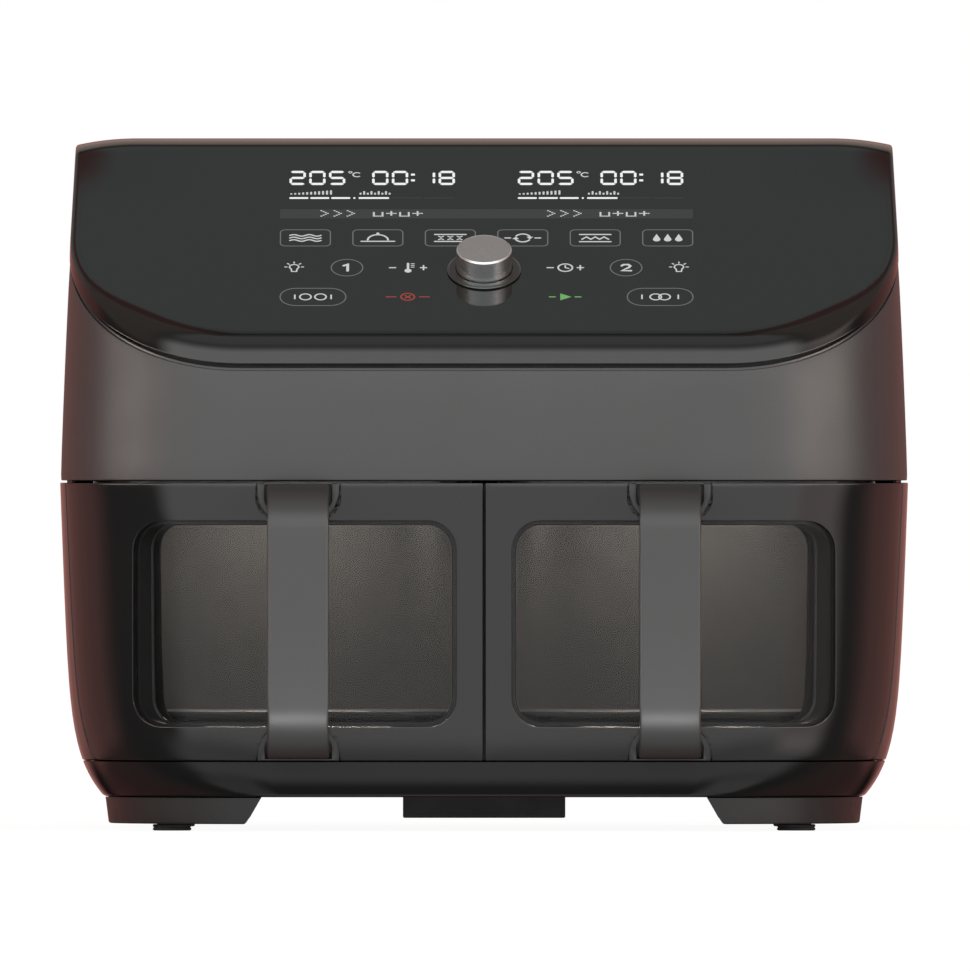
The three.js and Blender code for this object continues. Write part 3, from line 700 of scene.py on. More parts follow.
def top_cover():
    """Lid: leaning band, rolled edge, pocket for the control panel, and a flat top behind it."""
    form = Form()

    def flared(depth, lift):
        """Ring of the band, which leans out towards its lower edge."""
        ring = []
        for s in PLAN:
            run = on_lid(s, 0)[2] - band_low(s[1]) - lift
            ring.append(on_wall(s, band_low(s[1]) + lift, depth - run * BAND_LEAN * (1 - uprightness(s))))
        return ring

    def upper(depth, sink=0.0):
        return [on_lid(s, depth, sink) for s in PLAN]

    def inner(depth):
        return [on_lid(s, depth, pocket_at(s)) for s in PLAN]

    edge_depths = (0, 0.15, 0.4, 0.7, 1.1, 1.6, 2.2, 2.8, 3.4, PANEL_INSET - JOINT)
    form.loops([
        upper(WALL, LID_THICK), *wall_rings([(WALL, 0)], band_low),
        flared(0.2, 0), flared(0.06, 0.06), flared(0, 0.2), flared(0, 0.5),
        *(upper(depth) for depth in edge_depths), inner(PANEL_INSET), inner(6), inner(8),
    ])
    form.loops(lid_ranks(len(RIGHT), pocket_at), closed=False)
    form.loops([inner(8), inner(DECK_DEPTH)])
    form.loops([upper(WALL, LID_THICK), upper(DECK_DEPTH, LID_THICK)])
    form.loops(lid_ranks(len(RIGHT), lambda _station: LID_THICK), closed=False)
    made = make_object("lid_shell", form, angle=28, weighted=False)
    cut_with(made, intake_slots(), 28)
    finish_piece(made, "casing", "gloss_panel", "top_cover")


def intake_slots():
    """Two rows of air slots through the flat top."""
    slots = Form()
    for y in (112, 130):
        for x in range(-100, 101, 40):
            outline = rounded_rectangle(x - 15, x + 15, y - 3, y + 3, [2.9] * 4, 6)
            slots.tube([[(px, py, z) for px, py in outline] for z in (HEIGHT - 12, HEIGHT + 3)])
    return slots


def control_panel():
    """Gloss panel: plane with a soft roll along its edges and over the bend at the top."""
    form = Form()
    end = next(k for k, s in enumerate(RIGHT) if s[1] >= PANEL_REAR)
    chain = [*LEFT[end - 1:0:-1], *FRONT_EDGE, *RIGHT[1:end]]
    depths = (PANEL_INSET + JOINT, 4.5, 5, 5.5, 6, 6.5, 7, 7.5, 8, 8.8, DECK_DEPTH)
    form.loops([[on_lid(s, depth) for s in chain] for depth in depths], closed=False)
    form.loops(lid_ranks(end, lambda _station: 0), closed=False)
    made = make_object("control_panel_face", form, angle=28)
    thicken(made, 2.6)
    finish_piece(made, "casing", "gloss_panel", "control_panel")


# ---------------------------------------------------------------- housings

HOUSING_LOW_Z = SEAM_Z + 0.4
HOUSING_BOW = 0.55
VENT_HALF = 131  # half-width of the opening for the rear cover


def upper_housing():
    """Satin housing between the drawers and the lid, faintly bowed, with an opening for the rear cover."""
    front_levels = (HOUSING_LOW_Z, 161, 168, 176, 184, 192, 200, 205.5, LID_SEAM_Z)
    rear_levels = (HOUSING_LOW_Z, 161, 176, 203, 230, 257, 284, 295, LID_REAR_Z)
    count = len(front_levels)
    vent = [i for i, s in enumerate(PLAN) if s[3] == 1 and abs(s[0]) < VENT_HALF]

    def ring(k, depth):
        points = []
        for s in PLAN:
            share = (lid_seam(s[1]) - LID_SEAM_Z) / (LID_REAR_Z - LID_SEAM_Z)
            points.append(on_wall(s, lerp(front_levels[k], rear_levels[k], share), depth))
        return points

    def open_here(r, k):
        return 2 <= r < 6 and k in vent and k + 1 in vent

    form = Form()
    bowed = [ring(k, HOUSING_BOW * (2 * k / (count - 1) - 1) ** 2) for k in range(count)]
    form.shell(bowed, [ring(k, WALL) for k in range(count)], skip=open_here)
    made = make_object("upper_housing_shell", form, weighted=False)
    round_edges(made, 0.4, 3)
    finish_piece(made, "casing", "satin_charcoal", "upper_housing")


def lid_joint():
    """Lip inside the upper housing's top edge, and the skirt behind it that closes the gap below the lid."""
    lip = Form()
    profile = [(WALL, -14), (1.5, -14), (1.5, 1.0), (1.75, 1.25), (2.4, 1.3), (WALL, 1.25)]
    lip.loops(wall_rings(profile, lid_seam), wrapped=True)
    add_piece("upper_housing_lip", lip, "casing", "satin_charcoal", finish="socket_dark")
    skirt = Form()
    outer, inner, low, high = 4.2, 6.4, -12, LID_GAP + 1.5
    profile = [(inner, low), (outer, low), (outer, high), (inner, high)]
    skirt.loops(wall_rings(profile, lid_seam), wrapped=True)
    add_piece("lid_skirt", skirt, "casing", "black_rubber")


def plan_outline(z, depth):
    return [on_wall(s, z, depth)[:2] for s in PLAN[::2]]


def soffit():
    """Plate that closes the upper housing below, with an opening over each cavity."""
    low, high = node_box("heater_shroud_right")
    margin = 0.6
    bottom, top = SEAM_Z + 0.6, SEAM_Z + 2.4
    holes = []
    for _name, side in SIDES:
        left, right = sorted((side * (low.x - margin), side * (high.x + margin)))
        radii = (10, 52, 24, 24) if side > 0 else (52, 10, 24, 24)
        holes.append(rounded_rectangle(left, right, low.y - margin, high.y + margin, radii))
    made = plate("upper_housing_soffit", [plan_outline(SEAM_Z, WALL + 0.3), *holes], bottom, top, 0.3)
    finish_piece(made, "casing", "satin_charcoal", finish="bare_steel")


def fixed_wall(z):
    """Plan stations at a height, from behind the right drawer's face round the back to the left one's."""
    first_y = WRAP_REAR + 0.9
    k = next(i for i, s in enumerate(RIGHT) if s[1] > first_y + 1)
    cut = math.acos((front_at(z) + FRONT_RADIUS - first_y) / FRONT_RADIUS)
    nx, ny = math.sin(cut), -math.cos(cut)
    x, y = CORNER_X + FRONT_RADIUS * nx, CORNER_Y + FRONT_RADIUS * ny
    return [(x, y, nx, ny), *RIGHT[k:], *REAR_EDGE[-2:0:-1], *LEFT[:k - 1:-1], (-x, y, -nx, ny)]


def seam_flange():
    """Flange inside the joint between the lower walls and the upper housing."""
    form = Form()
    inner, outer, low, high = WALL + 1.6, WALL + 0.1, SEAM_Z - 8, SEAM_Z + 0.55
    profile = [(inner, low), (outer, low), (outer, high), (inner, high)]
    form.tube([[on_wall(s, z, depth) for depth, z in profile] for s in fixed_wall(SEAM_Z)])
    add_piece("seam_flange", form, "casing", "dark_plastic")


def lower_housing():
    """Fixed walls behind the drawers: both sides and the back."""
    form = Form()
    levels = (DRAWER_LOW_Z, 33, 36, 40, 46, 52, 60, 68, 80, 92, 106, 120, 145, SEAM_Z - 0.6)
    outer, inner = ([[on_wall(s, z, depth) for s in fixed_wall(z)] for z in levels] for depth in (0, WALL))
    form.shell(outer, inner, closed=False)
    made = make_object("lower_housing_walls", form, weighted=False)
    round_edges(made, 0.5)
    finish_piece(made, "casing", "drawer_charcoal", "lower_housing")


def cavity_divider():
    """Wall between the two cavities."""
    form = Form()
    half, front, rear = 3.4, FRONT + 19, REAR - WALL - 0.2
    corners = [(-half, front), (half, front), (half, rear), (-half, rear)]
    form.tube([[(x, y, z) for x, y in corners] for z in (DRAWER_LOW_Z + 0.1, SEAM_Z - 0.8)])
    made = make_object("cavity_divider", form)
    round_edges(made, 0.5)
    finish_piece(made, "casing", "drawer_charcoal", finish="dark_plastic")


def base_pan():
    """Tucked base with a flat vented floor."""
    form = Form()
    top = DRAWER_LOW_Z - 0.6
    outer = [(0, z) for z in (top, 30.2, 28, 25, 22, 19.5, 17.6, 16.4)] + [(0.25, 15.75), (0.9, BASE_Z)]
    inner = [(WALL, BASE_Z + 0.4), (WALL, 22), (WALL, top)]
    form.loops(wall_rings(outer + inner), wrapped=True)
    add_piece("base_pan_wall", form, "casing", "dark_plastic", "base_pan", "drawer_charcoal", angle=38)
    vents = [rounded_rectangle(x - 4, x + 4, -40, 40, [3.9] * 4) for x in (-64, -32, 0, 32, 64)]
    made = plate("base_pan_floor", [plan_outline(BASE_Z, 1.6), *vents], BASE_Z + 0.05, BASE_Z + 2, 0.4)
    finish_piece(made, "casing", "dark_plastic")


FOOT_LOW_Z = 3.2
FOOT_INNER_TOP, FOOT_INNER_LOW = 101, 107.8  # x of a foot's inner side
FOOT_FRONT_REACH, FOOT_REAR_REACH = -58, 72  # y at which the feet end
FOOT_DRAFT = 1.5


def clipped(points, low_x):
    """The part of a line, which runs towards larger x, beyond a given x."""
    k = next(i for i, p in enumerate(points) if p[0] > low_x)
    (ax, ay), (bx, by) = points[k - 1], points[k]
    return [(low_x, lerp(ay, by, (low_x - ax) / (bx - ax))), *points[k:]]


def foot(end_name, end, side_name, side):
    """Corner foot that follows the base's outline, its inner side slanting in towards the floor."""
    top, low = BASE_Z - CLEARANCE, FOOT_LOW_Z
    reach = FOOT_FRONT_REACH if end < 0 else FOOT_REAR_REACH
    stations = [s for s in RIGHT if (s[1] < reach) == (end < 0)]
    if end > 0:
        stations.reverse()

    def level(z, inset):
        share = (z - low) / (top - low)
        inner_x = lerp(FOOT_INNER_LOW, FOOT_INNER_TOP, share) + inset
        draft = FOOT_DRAFT * (1 - share)
        run = [on_wall(s, BASE_Z, 0.6 + draft + inset)[:2] for s in stations]
        run = clipped([(0, run[0][1]), *run], inner_x)
        outline = resampled([*run, (run[-1][0], reach + end * inset)], 40)
        return [(x, y, z) for x, y in [*outline, (inner_x, reach + end * inset)]]

    form = Form()
    heights = [(low, 0.9), (low + 0.25, 0.25), (low + 0.9, 0), (lerp(low, top, 0.5), 0), (top, 0)]
    form.tube([level(z, inset) for z, inset in heights])
    node = f"foot_{end_name}_{side_name}"
    add_piece(f"{node}_block", form.mirrored(side), "casing", "dark_plastic", node, "foot_plastic", angle=30)


def foot_pad(node):
    """Turned rubber pad with a grooved rim."""
    low, high = node_box(node)
    rim, top = (high.x - low.x) / 2, high.z
    profile = [(0.01, 0), (rim - 0.5, 0), (rim, 0.4), (rim, 1.1), (rim - 0.35, 1.3), (rim - 0.35, 1.6),
               (rim, 1.8), (rim, top - 0.3), (rim - 0.3, top), (0.01, top)]
    form = lathe(profile).moved(Matrix.Translation(((low.x + high.x) / 2, (low.y + high.y) / 2, 0)))
    add_piece(f"{node}_ring", form, "casing", "black_rubber", node)


# ---------------------------------------------------------------- drawer front and window

SOCKET_HALF = 18.85  # half-width of the notch in the drawer's face
NOTCH_RADIUS = 8.35
TOP_NOTCH_Z = 141.65
LOW_NOTCH_Z = 45.85
FACE_START = 0.6  # the face's edge beside the body's middle
FACE_CORNER = 7
TUB_DEPTH = 15  # of the tub's front wall behind the drawer's face
TUB_WALL = 1.3
INNER_FRAME = 2  # the inner pane's outline inside the outer one


def on_front(g, z, depth=0.0):
    """Point of the right drawer's face; g runs along the face from the middle of the body."""
    centre_x = CORNER_X - wall_inset(z)
    if g <= centre_x:
        return (g, front_at(z) + depth, z)
    angle = (g - centre_x) / FRONT_RADIUS
    radius = FRONT_RADIUS - depth
    return (centre_x + radius * math.sin(angle), front_at(z) + FRONT_RADIUS - radius * math.cos(angle), z)


def along_face(x, z):
    """Distance g along the face to a place x on it, seen from the front."""
    centre_x = CORNER_X - wall_inset(z)
    if x <= centre_x:
        return x
    return centre_x + FRONT_RADIUS * math.asin((x - centre_x) / FRONT_RADIUS)


def face_end(z):
    """Distance g to the rear edge of the drawer's face."""
    turn = math.acos((front_at(z) + FRONT_RADIUS - WRAP_REAR) / FRONT_RADIUS)
    return CORNER_X - wall_inset(z) + FRONT_RADIUS * turn


def on_face(loop, depth):
    return [on_front(g, z, depth) for g, z in loop]


def window_outline(grow=0.0):
    """Window outline along the face, counter-clockwise from its lower left corner."""
    outline = rounded_rectangle(WINDOW_LEFT - grow, WINDOW_RIGHT + grow, WINDOW_LOW - grow,
                                WINDOW_HIGH + grow, [WINDOW_RADIUS + grow] * 4, 10)
    return [(along_face(x, z), z) for x, z in outline]


def part_of(outline, start, end):
    """Stretch of a closed outline from the point nearest one place to the point nearest another."""
    i, j = (min(range(len(outline)), key=lambda k: math.dist(outline[k], place)) for place in (start, end))
    turned = outline[i:] + outline[:i]
    return turned[: (j - i) % len(outline) + 1]


def face_loops():
    """Matching outlines of the drawer's face: its outer edge and its window, both counter-clockwise."""
    left, right = HANDLE_X - SOCKET_HALF, HANDLE_X + SOCKET_HALF
    low, high = DRAWER_LOW_Z, DRAWER_HIGH_Z
    r = NOTCH_RADIUS
    corner_z = low + FACE_CORNER
    corner_g = face_end(corner_z) - FACE_CORNER
    rear = [(face_end(z), z) for z in (lerp(corner_z, high, i / 12) for i in range(13))]
    outer = [
        [(FACE_START, low), (left, low)],
        [(left, low), *arc(left + r, LOW_NOTCH_Z - r, r, 180, 90, 10),
         *arc(right - r, LOW_NOTCH_Z - r, r, 90, 0, 10), (right, low)],
        [(right, low), (corner_g, low)],
        [*arc(corner_g, corner_z, FACE_CORNER, 270, 360, 8)[:-1], *rear],
        [rear[-1], (right, high)],
        [(right, high), *arc(right - r, TOP_NOTCH_Z + r, r, 0, -90, 10),
         *arc(left + r, TOP_NOTCH_Z + r, r, 270, 180, 10), (left, high)],
        [(left, high), (FACE_START, high)],
        [(FACE_START, high), (FACE_START, low)],
    ]
    skew = WINDOW_RADIUS * 0.29
    bottom, top = WINDOW_LOW + skew, WINDOW_HIGH - skew
    places = [
        (WINDOW_LEFT + skew, bottom), (left + 3, WINDOW_LOW), (right - 3, WINDOW_LOW),
        (along_face(WINDOW_RIGHT, WINDOW_LOW) - skew - 1, bottom),
        (along_face(WINDOW_RIGHT - skew, WINDOW_HIGH), top),
        (right - 3, WINDOW_HIGH), (left + 3, WINDOW_HIGH), (WINDOW_LEFT + skew, top),
    ]
    window = densified(window_outline(), 1.0)
    outer_loop, inner_loop = [], []
    counts = (26, 36, 34, 48, 34, 36, 26, 44)
    for run, start, end, count in zip(outer, places, places[1:] + places[:1], counts):
        outer_loop += resampled(run, count)[:-1]
        inner_loop += resampled(part_of(window, start, end), count)[:-1]
    return outer_loop, inner_loop


def between_loops(a, b, share):
    return [tuple(lerp(p, q, share) for p, q in zip(m, n)) for m, n in zip(a, b)]


def drawer_front(side_name, side, outer, window):
    """Curved face with a window and a notch for each handle socket, its edges softly rounded."""
    form = Form()
    thick = 3.5
    edge = 0.55
    near_outer, near_window = offset_loop(outer, -edge), offset_loop(window, edge)
    shares = (0, 0.12, 0.3, 0.5, 0.7, 0.88, 1)
    form.loops([
        on_face(outer, thick), on_face(outer, edge), on_face(offset_loop(outer, -0.3 * edge), 0.3 * edge),
        *(on_face(between_loops(near_outer, near_window, share), 0) for share in shares),
        on_face(offset_loop(window, 0.3 * edge), 0.3 * edge), on_face(window, edge), on_face(window, thick),
        *(on_face(between_loops(window, outer, share), thick) for share in (0.25, 0.5, 0.75)),
    ], wrapped=True)
    add_piece(f"drawer_front_{side_name}_face", form.mirrored(side), f"drawer_{side_name}", "drawer_charcoal",
              f"drawer_front_{side_name}", angle=38)


def pane_rows(shrink):
    """Even rows of points along the face that fill the window outline, moved in by a distance."""
    low, high = WINDOW_LOW + shrink, WINDOW_HIGH - shrink
    left, right = WINDOW_LEFT + shrink, WINDOW_RIGHT - shrink
    radius = WINDOW_RADIUS - shrink
    turns = [radius * (1 - math.cos(math.radians(i * 90 / 8))) for i in range(9)]
    heights = [low + rise for rise in turns]
    heights += [lerp(low + radius, high - radius, i / 7) for i in range(1, 7)]
    heights += [high - rise for rise in reversed(turns)]
    rows = []
    for z in heights:
        bend = max(low + radius - z, z - high + radius, 0)
        inset = radius - math.sqrt(max(0, radius**2 - bend**2))
        rows.append([(along_face(lerp(left + inset, right - inset, (a + 1) / 2), z), z) for a in ACROSS])
    return rows


def pane(which, side_name, side, shrink, depth, thickness):
    """Curved glass pane with ground edges, a depth behind the drawer's face."""
    form = Form()
    rows = pane_rows(shrink)
    outer, inner = ([on_face(row, d) for row in rows] for d in (depth, depth + thickness))
    form.shell(outer, inner, closed=False)
    made = make_object(f"window_{which}_{side_name}_pane", form.mirrored(side), angle=38, weighted=False)
    round_edges(made, 0.3)
    finish_piece(made, f"drawer_{side_name}", "clear_glass", f"window_{which}_glass_{side_name}")


def gasket(side_name, side):
    """Moulded frame between the two panes, with a lip at each end."""
    form = Form()
    loop = densified(window_outline(), 3)
    near, far = 3.85, TUB_DEPTH - CLEARANCE
    profile = [(1, near), (1, far), (-1.6, far), (-1.6, far - 1), (-0.7, far - 1.8),
               (-0.7, near + 1.2), (-1.3, near + 0.6), (-1.3, near)]
    form.loops([on_face(offset_loop(loop, grow), depth) for grow, depth in profile], wrapped=True)
    node = f"window_gasket_{side_name}"
    add_piece(f"{node}_frame", form.mirrored(side), f"drawer_{side_name}", "dark_plastic", node, angle=30)


# ---------------------------------------------------------------- handle

SOCKET_FLOOR = 9 - 1.3 - CLEARANCE  # depth at which a handle's end meets its socket


def handle_line(inset):
    """Side line (y, z) of the handle, moved in from its outer face."""
    low, high = node_box("handle_right")
    top, bottom, front = high.z, low.z, low.y
    top_bend, low_bend = 20, 25
    low_end = front_at(DRAWER_LOW_Z) + SOCKET_FLOOR
    return [
        *((lerp(FRONT + SOCKET_FLOOR, front + top_bend, i / 8), top - inset) for i in range(8)),
        *arc(front + top_bend, top - top_bend, top_bend - inset, 90, 180, 16),
        *((front + inset, lerp(top - top_bend, bottom + low_bend, i / 12)) for i in range(1, 12)),
        *arc(front + low_bend, bottom + low_bend, low_bend - inset, 180, 270, 18),
        *((lerp(front + low_bend, low_end, i / 5), bottom + inset) for i in range(1, 6)),
    ]


def handle(side_name, side):
    """Bent satin strap with rounded edges and chamfers at its back."""
    low, high = node_box("handle_right")
    half = (high.x - low.x) / 2
    thick = 6
    edge = 1.1
    back = 0.8
    section = [
        *arc(half - edge, edge, edge, 0, -90, 5), *arc(edge - half, edge, edge, 270, 180, 5),
        (-half, thick - back), (-half + back, thick), (0, thick), (half - back, thick), (half, thick - back),
    ]
    rails = [[(HANDLE_X + x, *point) for point in handle_line(inset)] for x, inset in section]
    form = Form()
    form.tube([list(ring) for ring in zip(*rails)])
    node = f"handle_{side_name}"
    add_piece(f"{node}_strap", form.mirrored(side), f"drawer_{side_name}", "satin_charcoal", node, angle=40)


def u_outline(half, flat_z, round_z, radius):
    """Counter-clockwise U about the handle's line: straight at one height, rounded at the other."""
    way, start = (1, 180) if round_z < flat_z else (-1, 0)
    reach, centre_z = way * (half - radius), round_z + way * radius
    return [
        (HANDLE_X + way * half, flat_z), (HANDLE_X - way * half, flat_z),
        *arc(HANDLE_X - reach, centre_z, radius, start, start + 90, 10),
        *arc(HANDLE_X + reach, centre_z, radius, start + 90, start + 180, 10),
    ]


def socket(which, side_name, side):
    """Plate flush with the face that takes one end of the handle: rim, recess and floor."""
    low, high = node_box(f"handle_{which}_socket_right")
    upper = which == "top"
    flat, tip, inward, rim = (high.z, low.z, -1, 0.35) if upper else (low.z, high.z, 1, 0.9)
    outer = u_outline((high.x - low.x) / 2, flat, tip, 8)
    cup = u_outline(15.0, flat + inward * rim, tip - inward * 3.6, 4.5)
    profile = [(outer, 0, 8.9), (outer, 0, 0.7), (outer, -0.15, 0.35), (outer, -0.5, 0.2),
               (cup, 0.5, 0.2), (cup, 0.15, 0.35), (cup, 0, 0.7), (cup, 0, 7.5)]
    form = Form()
    form.tube([[(x, front_at(z) + depth, z) for x, z in offset_loop(outline, grow)]
               for outline, grow, depth in profile])
    node = f"handle_{which}_socket_{side_name}"
    add_piece(f"{node}_plate", form.mirrored(side), f"drawer_{side_name}", "socket_dark", node, angle=32)


# ---------------------------------------------------------------- tub and tray

TUB_INNER_X = 9
TUB_SIDE_GAP = 18.5
TUB_REAR = 98
TUB_REAR_RADIUS = 28
TUB_BEND = 6.5  # radius between floor and wall
TRAY_Z = 52
TRAY_GAP = 3.0


def tub_outline(z, inset):
    """Plan outline of the right tub at a height, moved in by an inset."""
    right = HALF_WIDTH - wall_inset(z) - TUB_SIDE_GAP - inset
    front = front_at(z) + TUB_DEPTH + inset
    rear_radius = TUB_REAR_RADIUS - inset
    radii = (14 - min(inset, 8), FRONT_RADIUS - TUB_DEPTH - inset, rear_radius, rear_radius)
    outline = rounded_rectangle(TUB_INNER_X + inset, right, front, TUB_REAR - inset, radii, 12)
    return [(x, y, z) for x, y in outline]


def drawer_tub(side_name, side):
    """Pressed pan with a rolled rim, a rounded floor edge and a window cut in its front."""
    low, high = node_box("drawer_tub_right")
    floor, rim, wall = low.z, high.z, TUB_WALL
    bend = [(floor + TUB_BEND * (1 - math.cos(a)), TUB_BEND * (1 - math.sin(a)))
            for a in (math.radians(d) for d in range(0, 91, 15))]
    profile = [
        *bend, (80, 0), (120, 0), (rim - 2.2, 0),
        (rim - 2.2, -0.9), (rim - 1.6, -1.3), (rim - 0.6, -1.3), (rim, -0.7), (rim, 0.8), (rim - 0.6, wall),
        (120, wall), (80, wall), *((z + wall, inset + wall) for z, inset in reversed(bend)),
    ]
    form = Form()
    form.tube([tub_outline(z, inset) for z, inset in profile])
    made = make_object(f"drawer_tub_{side_name}_pan", form.mirrored(side), angle=40, weighted=False)
    opening = Form()
    hole = densified(window_outline(-INNER_FRAME), 3)
    opening.tube([on_face(hole, depth) for depth in (6, 34)])
    cut_with(made, opening.mirrored(side))
    finish_piece(made, f"drawer_{side_name}", "coated_steel", f"drawer_tub_{side_name}")


def crisper_tray(side_name, side):
    """Perforated tray with long holes and a rounded edge, on four rubber-shod legs."""
    z = TRAY_Z
    outline = [(x, y) for x, y, _z in tub_outline(z, TRAY_GAP)]
    length, width = 22, 9
    holes = []
    for row in range(8):
        for column in range(4):
            x, y = 28 + column * 31, -122 + row * 25.5
            if x < 110 or row > 0:
                holes.append(rounded_rectangle(x, x + length, y, y + width, [4.4] * 4, 6))
    node = f"crisper_tray_{side_name}"
    deck = plate(f"{node}_deck", [outline, *holes], z, z + 2, 0.6)
    if side < 0:
        deck.data.transform(Matrix.Scale(-1, 4, (1, 0, 0)))
        deck.data.flip_normals()
    finish_piece(deck, f"tray_{side_name}", "coated_steel", node)
    legs = Form()
    for x, y in ((28, -124), (28, 74), (138, -98), (144, 74)):
        leg = lathe([(0.01, 37.7), (3.2, 37.7), (4, 38.5), (4, z + 0.2), (0.01, z + 0.2)], 20)
        legs.add(leg.moved(Matrix.Translation((x, y, 0))))
    add_piece(f"{node}_legs", legs.mirrored(side), f"tray_{side_name}", "coated_steel", finish="black_rubber")


# ---------------------------------------------------------------- knob

def turned_piece(name, profile, body, slot, node):
    """Piece turned about the knob's axis, whose origin stays on that axis."""
    made = make_object(name, lathe(profile, 96), angle=24)
    made.matrix_world = panel_place(MM)
    finish_piece(made, body, slot, node)


def knob():
    """Turned cap with a bright chamfer, and the ring that it stands in."""
    rim, top = 12.5, 11.8
    turned_piece("knob_cap", [
        (0.01, 0.8), (rim - 0.5, 0.8), (rim, 1.3), (rim, top - 0.75), (rim - 0.1, top - 0.65),
        (rim - 0.6, top - 0.15), (rim - 0.75, top - 0.04), (rim - 0.95, top), (rim - 1.1, top - 0.08),
        (0.01, top - 0.3)], "knob", "brushed_metal", "knob")
    outer, inner = 16.7, 12.7
    turned_piece("knob_trim", [
        (inner, 0.36), (outer, 0.36), (outer, 0.75), (outer - 0.45, 1.15), (outer - 1.1, 1.45),
        (inner + 0.7, 1.45), (inner + 0.2, 1.2), (inner, 0.8)], "casing", "dark_metal", "knob_ring")


# ---------------------------------------------------------------- panel graphics

class Print(Form):
    """Thin raised shapes of one ink on the panel's plane: x across and v up the slope, from a set place."""

    def __init__(self, low=0.01, high=0.06):
        super().__init__()
        self.heights = (low, high)
        self.place = (0, 0)

    def at(self, x, v):
        self.place = (x, v)
        return self

    def level(self, outline, out):
        return [(self.place[0] + x, self.place[1] + v, out) for x, v in outline]

    def fill(self, outline):
        self.tube([self.level(outline, out) for out in self.heights])

    def hoop(self, outer, inner):
        low, high = self.heights
        corners = ((outer, low), (outer, high), (inner, high), (inner, low))
        self.loops([self.level(outline, out) for outline, out in corners], wrapped=True)

    def bar(self, left, right, low, high, radius):
        self.fill(rounded_rectangle(left, right, low, high, [radius] * 4, 4))

    def frame(self, half, low, high, radius):
        """Printed outline of a touch key that reaches equally far to both sides."""
        width = 0.5
        self.hoop(rounded_rectangle(-half, half, low, high, [radius] * 4, 6),
                  rounded_rectangle(width - half, half - width, low + width, high - width,
                                    [radius - width] * 4, 6))

    def ring(self, x, v, radius, width):
        self.hoop(circle(x, v, radius), circle(x, v, radius - width))

    def line(self, width, *points):
        self.fill(stroke(points, width))


def stroke(points, width):
    """Outline of a line of an even width with round ends."""
    half = width / 2
    turns = [math.atan2(b[1] - a[1], b[0] - a[0]) for a, b in zip(points, points[1:])]
    left, right = [], []
    for i, (x, v) in enumerate(points):
        before, after = turns[max(i - 1, 0)], turns[min(i, len(turns) - 1)]
        nx, nv = -math.sin(before) - math.sin(after), math.cos(before) + math.cos(after)
        scale = 2 * half / max(nx * nx + nv * nv, 1)
        left.append((x + nx * scale, v + nv * scale))
        right.append((x - nx * scale, v - nv * scale))
    start, end = math.degrees(turns[0]), math.degrees(turns[-1])
    tip = arc(*points[-1], half, end + 90, end - 90, 6)[1:-1]
    tail = arc(*points[0], half, start - 90, start - 270, 6)[1:-1]
    return [*left, *tip, *reversed(right), *tail]


SEGMENTS = {"0": "abcdef", "1": "bc", "2": "abged", "5": "afgcd", "8": "abcdefg"}
DIGIT_WIDTH = 7.4
DIGIT_HEIGHT = 12.2
DIGIT_PITCH = 8.95
DIGIT_V = 74
BAR_WIDTH = 1.15


def digit(ink, symbol, x):
    """Seven-segment digit with its left side at a place."""
    half = BAR_WIDTH / 2
    thick = half * 1.55
    left, right = x + half, x + DIGIT_WIDTH - half
    low, middle, high = DIGIT_V + half * 1.6, DIGIT_V + DIGIT_HEIGHT / 2, DIGIT_V + DIGIT_HEIGHT - half * 1.6
    for name, v in (("a", high), ("g", middle), ("d", low)):
        if name in SEGMENTS[symbol]:
            ink.fill([(left, v), (left + thick, v - thick), (right - thick, v - thick), (right, v),
                      (right - thick, v + thick), (left + thick, v + thick)])
    for name, side, bottom, top in (("f", left, middle, high), ("b", right, middle, high),
                                    ("e", left, low, middle), ("c", right, low, middle)):
        if name in SEGMENTS[symbol]:
            ink.fill([(side, bottom + 0.5), (side + half, bottom + 1), (side + half, top - 1),
                      (side, top - 0.5), (side - half, top - 1), (side - half, bottom + 1)])


def readout(bright, label, dim):
    """One drawer's display: temperature, time, and progress bars with their marks."""
    for start, text in ((0, "205"), (37.5, "00"), (58.7, "18")):
        for k, symbol in enumerate(text):
            digit(bright, symbol, start + k * DIGIT_PITCH)
    label.ring(27.6, DIGIT_V + 11, 0.95, 0.45)
    label.line(0.65, *arc(30.6, DIGIT_V + 8.9, 1.8, 50, 310, 12))
    for rise in (3.2, 8.2):
        bright.bar(55.1, 56.9, DIGIT_V + rise, DIGIT_V + rise + 1.6, 0.3)
    for start, end in ((0, 8.6), (9.5, 18.1), (19.0, 27.6), (29, 29.9), (31.4, 45.2)):
        bright.bar(start, end, 62, 63.4, 0.45)
    # unfilled progress bars in the dim ink, whose faint glow is painted
    for start, end in ((46.2, 60.2), (61.2, 75)):
        dim.bar(start, end, 62.2, 63.2, 0.3)
    for k in range(11):
        label.bar(0.4 + 1.8 * k, 1.3 + 1.8 * k, 65.7, 66.7 + 0.26 * k, 0.3)
    for k in range(9):
        label.bar(31.8 + 1.65 * k, 32.7 + 1.65 * k, 65.7, 67.2 + 1.4 * (k % 2), 0.3)


CHEVRON = ("#....", ".#...", "..#..", "...#.", "..#..", ".#...", "#....")
TRAY = (".....", ".....", "#...#", "#...#", "#...#", "#...#", "#####")
PLUS = (".....", "..#..", "..#..", "#####", "..#..", "..#..", ".....")


def dot_matrix(ink):
    """Message of generic symbols on a five by seven grid of dots."""
    for k, glyph in enumerate((CHEVRON, CHEVRON, CHEVRON, (), TRAY, PLUS, TRAY, PLUS)):
        for row, line in enumerate(glyph):
            for column, mark in enumerate(line):
                if mark == "#":
                    x, v = 5.95 * k + 0.98 * column, 0.78 * (6 - row)
                    ink.bar(x, x + 0.88, v, v + 0.7, 0.15)


def air_symbol(ink):
    for lift in (-2.2, 0, 2.2):
        ink.line(0.8, *((-7 + 14 * i / 16, lift + 0.7 * math.sin(math.pi * i / 4)) for i in range(17)))


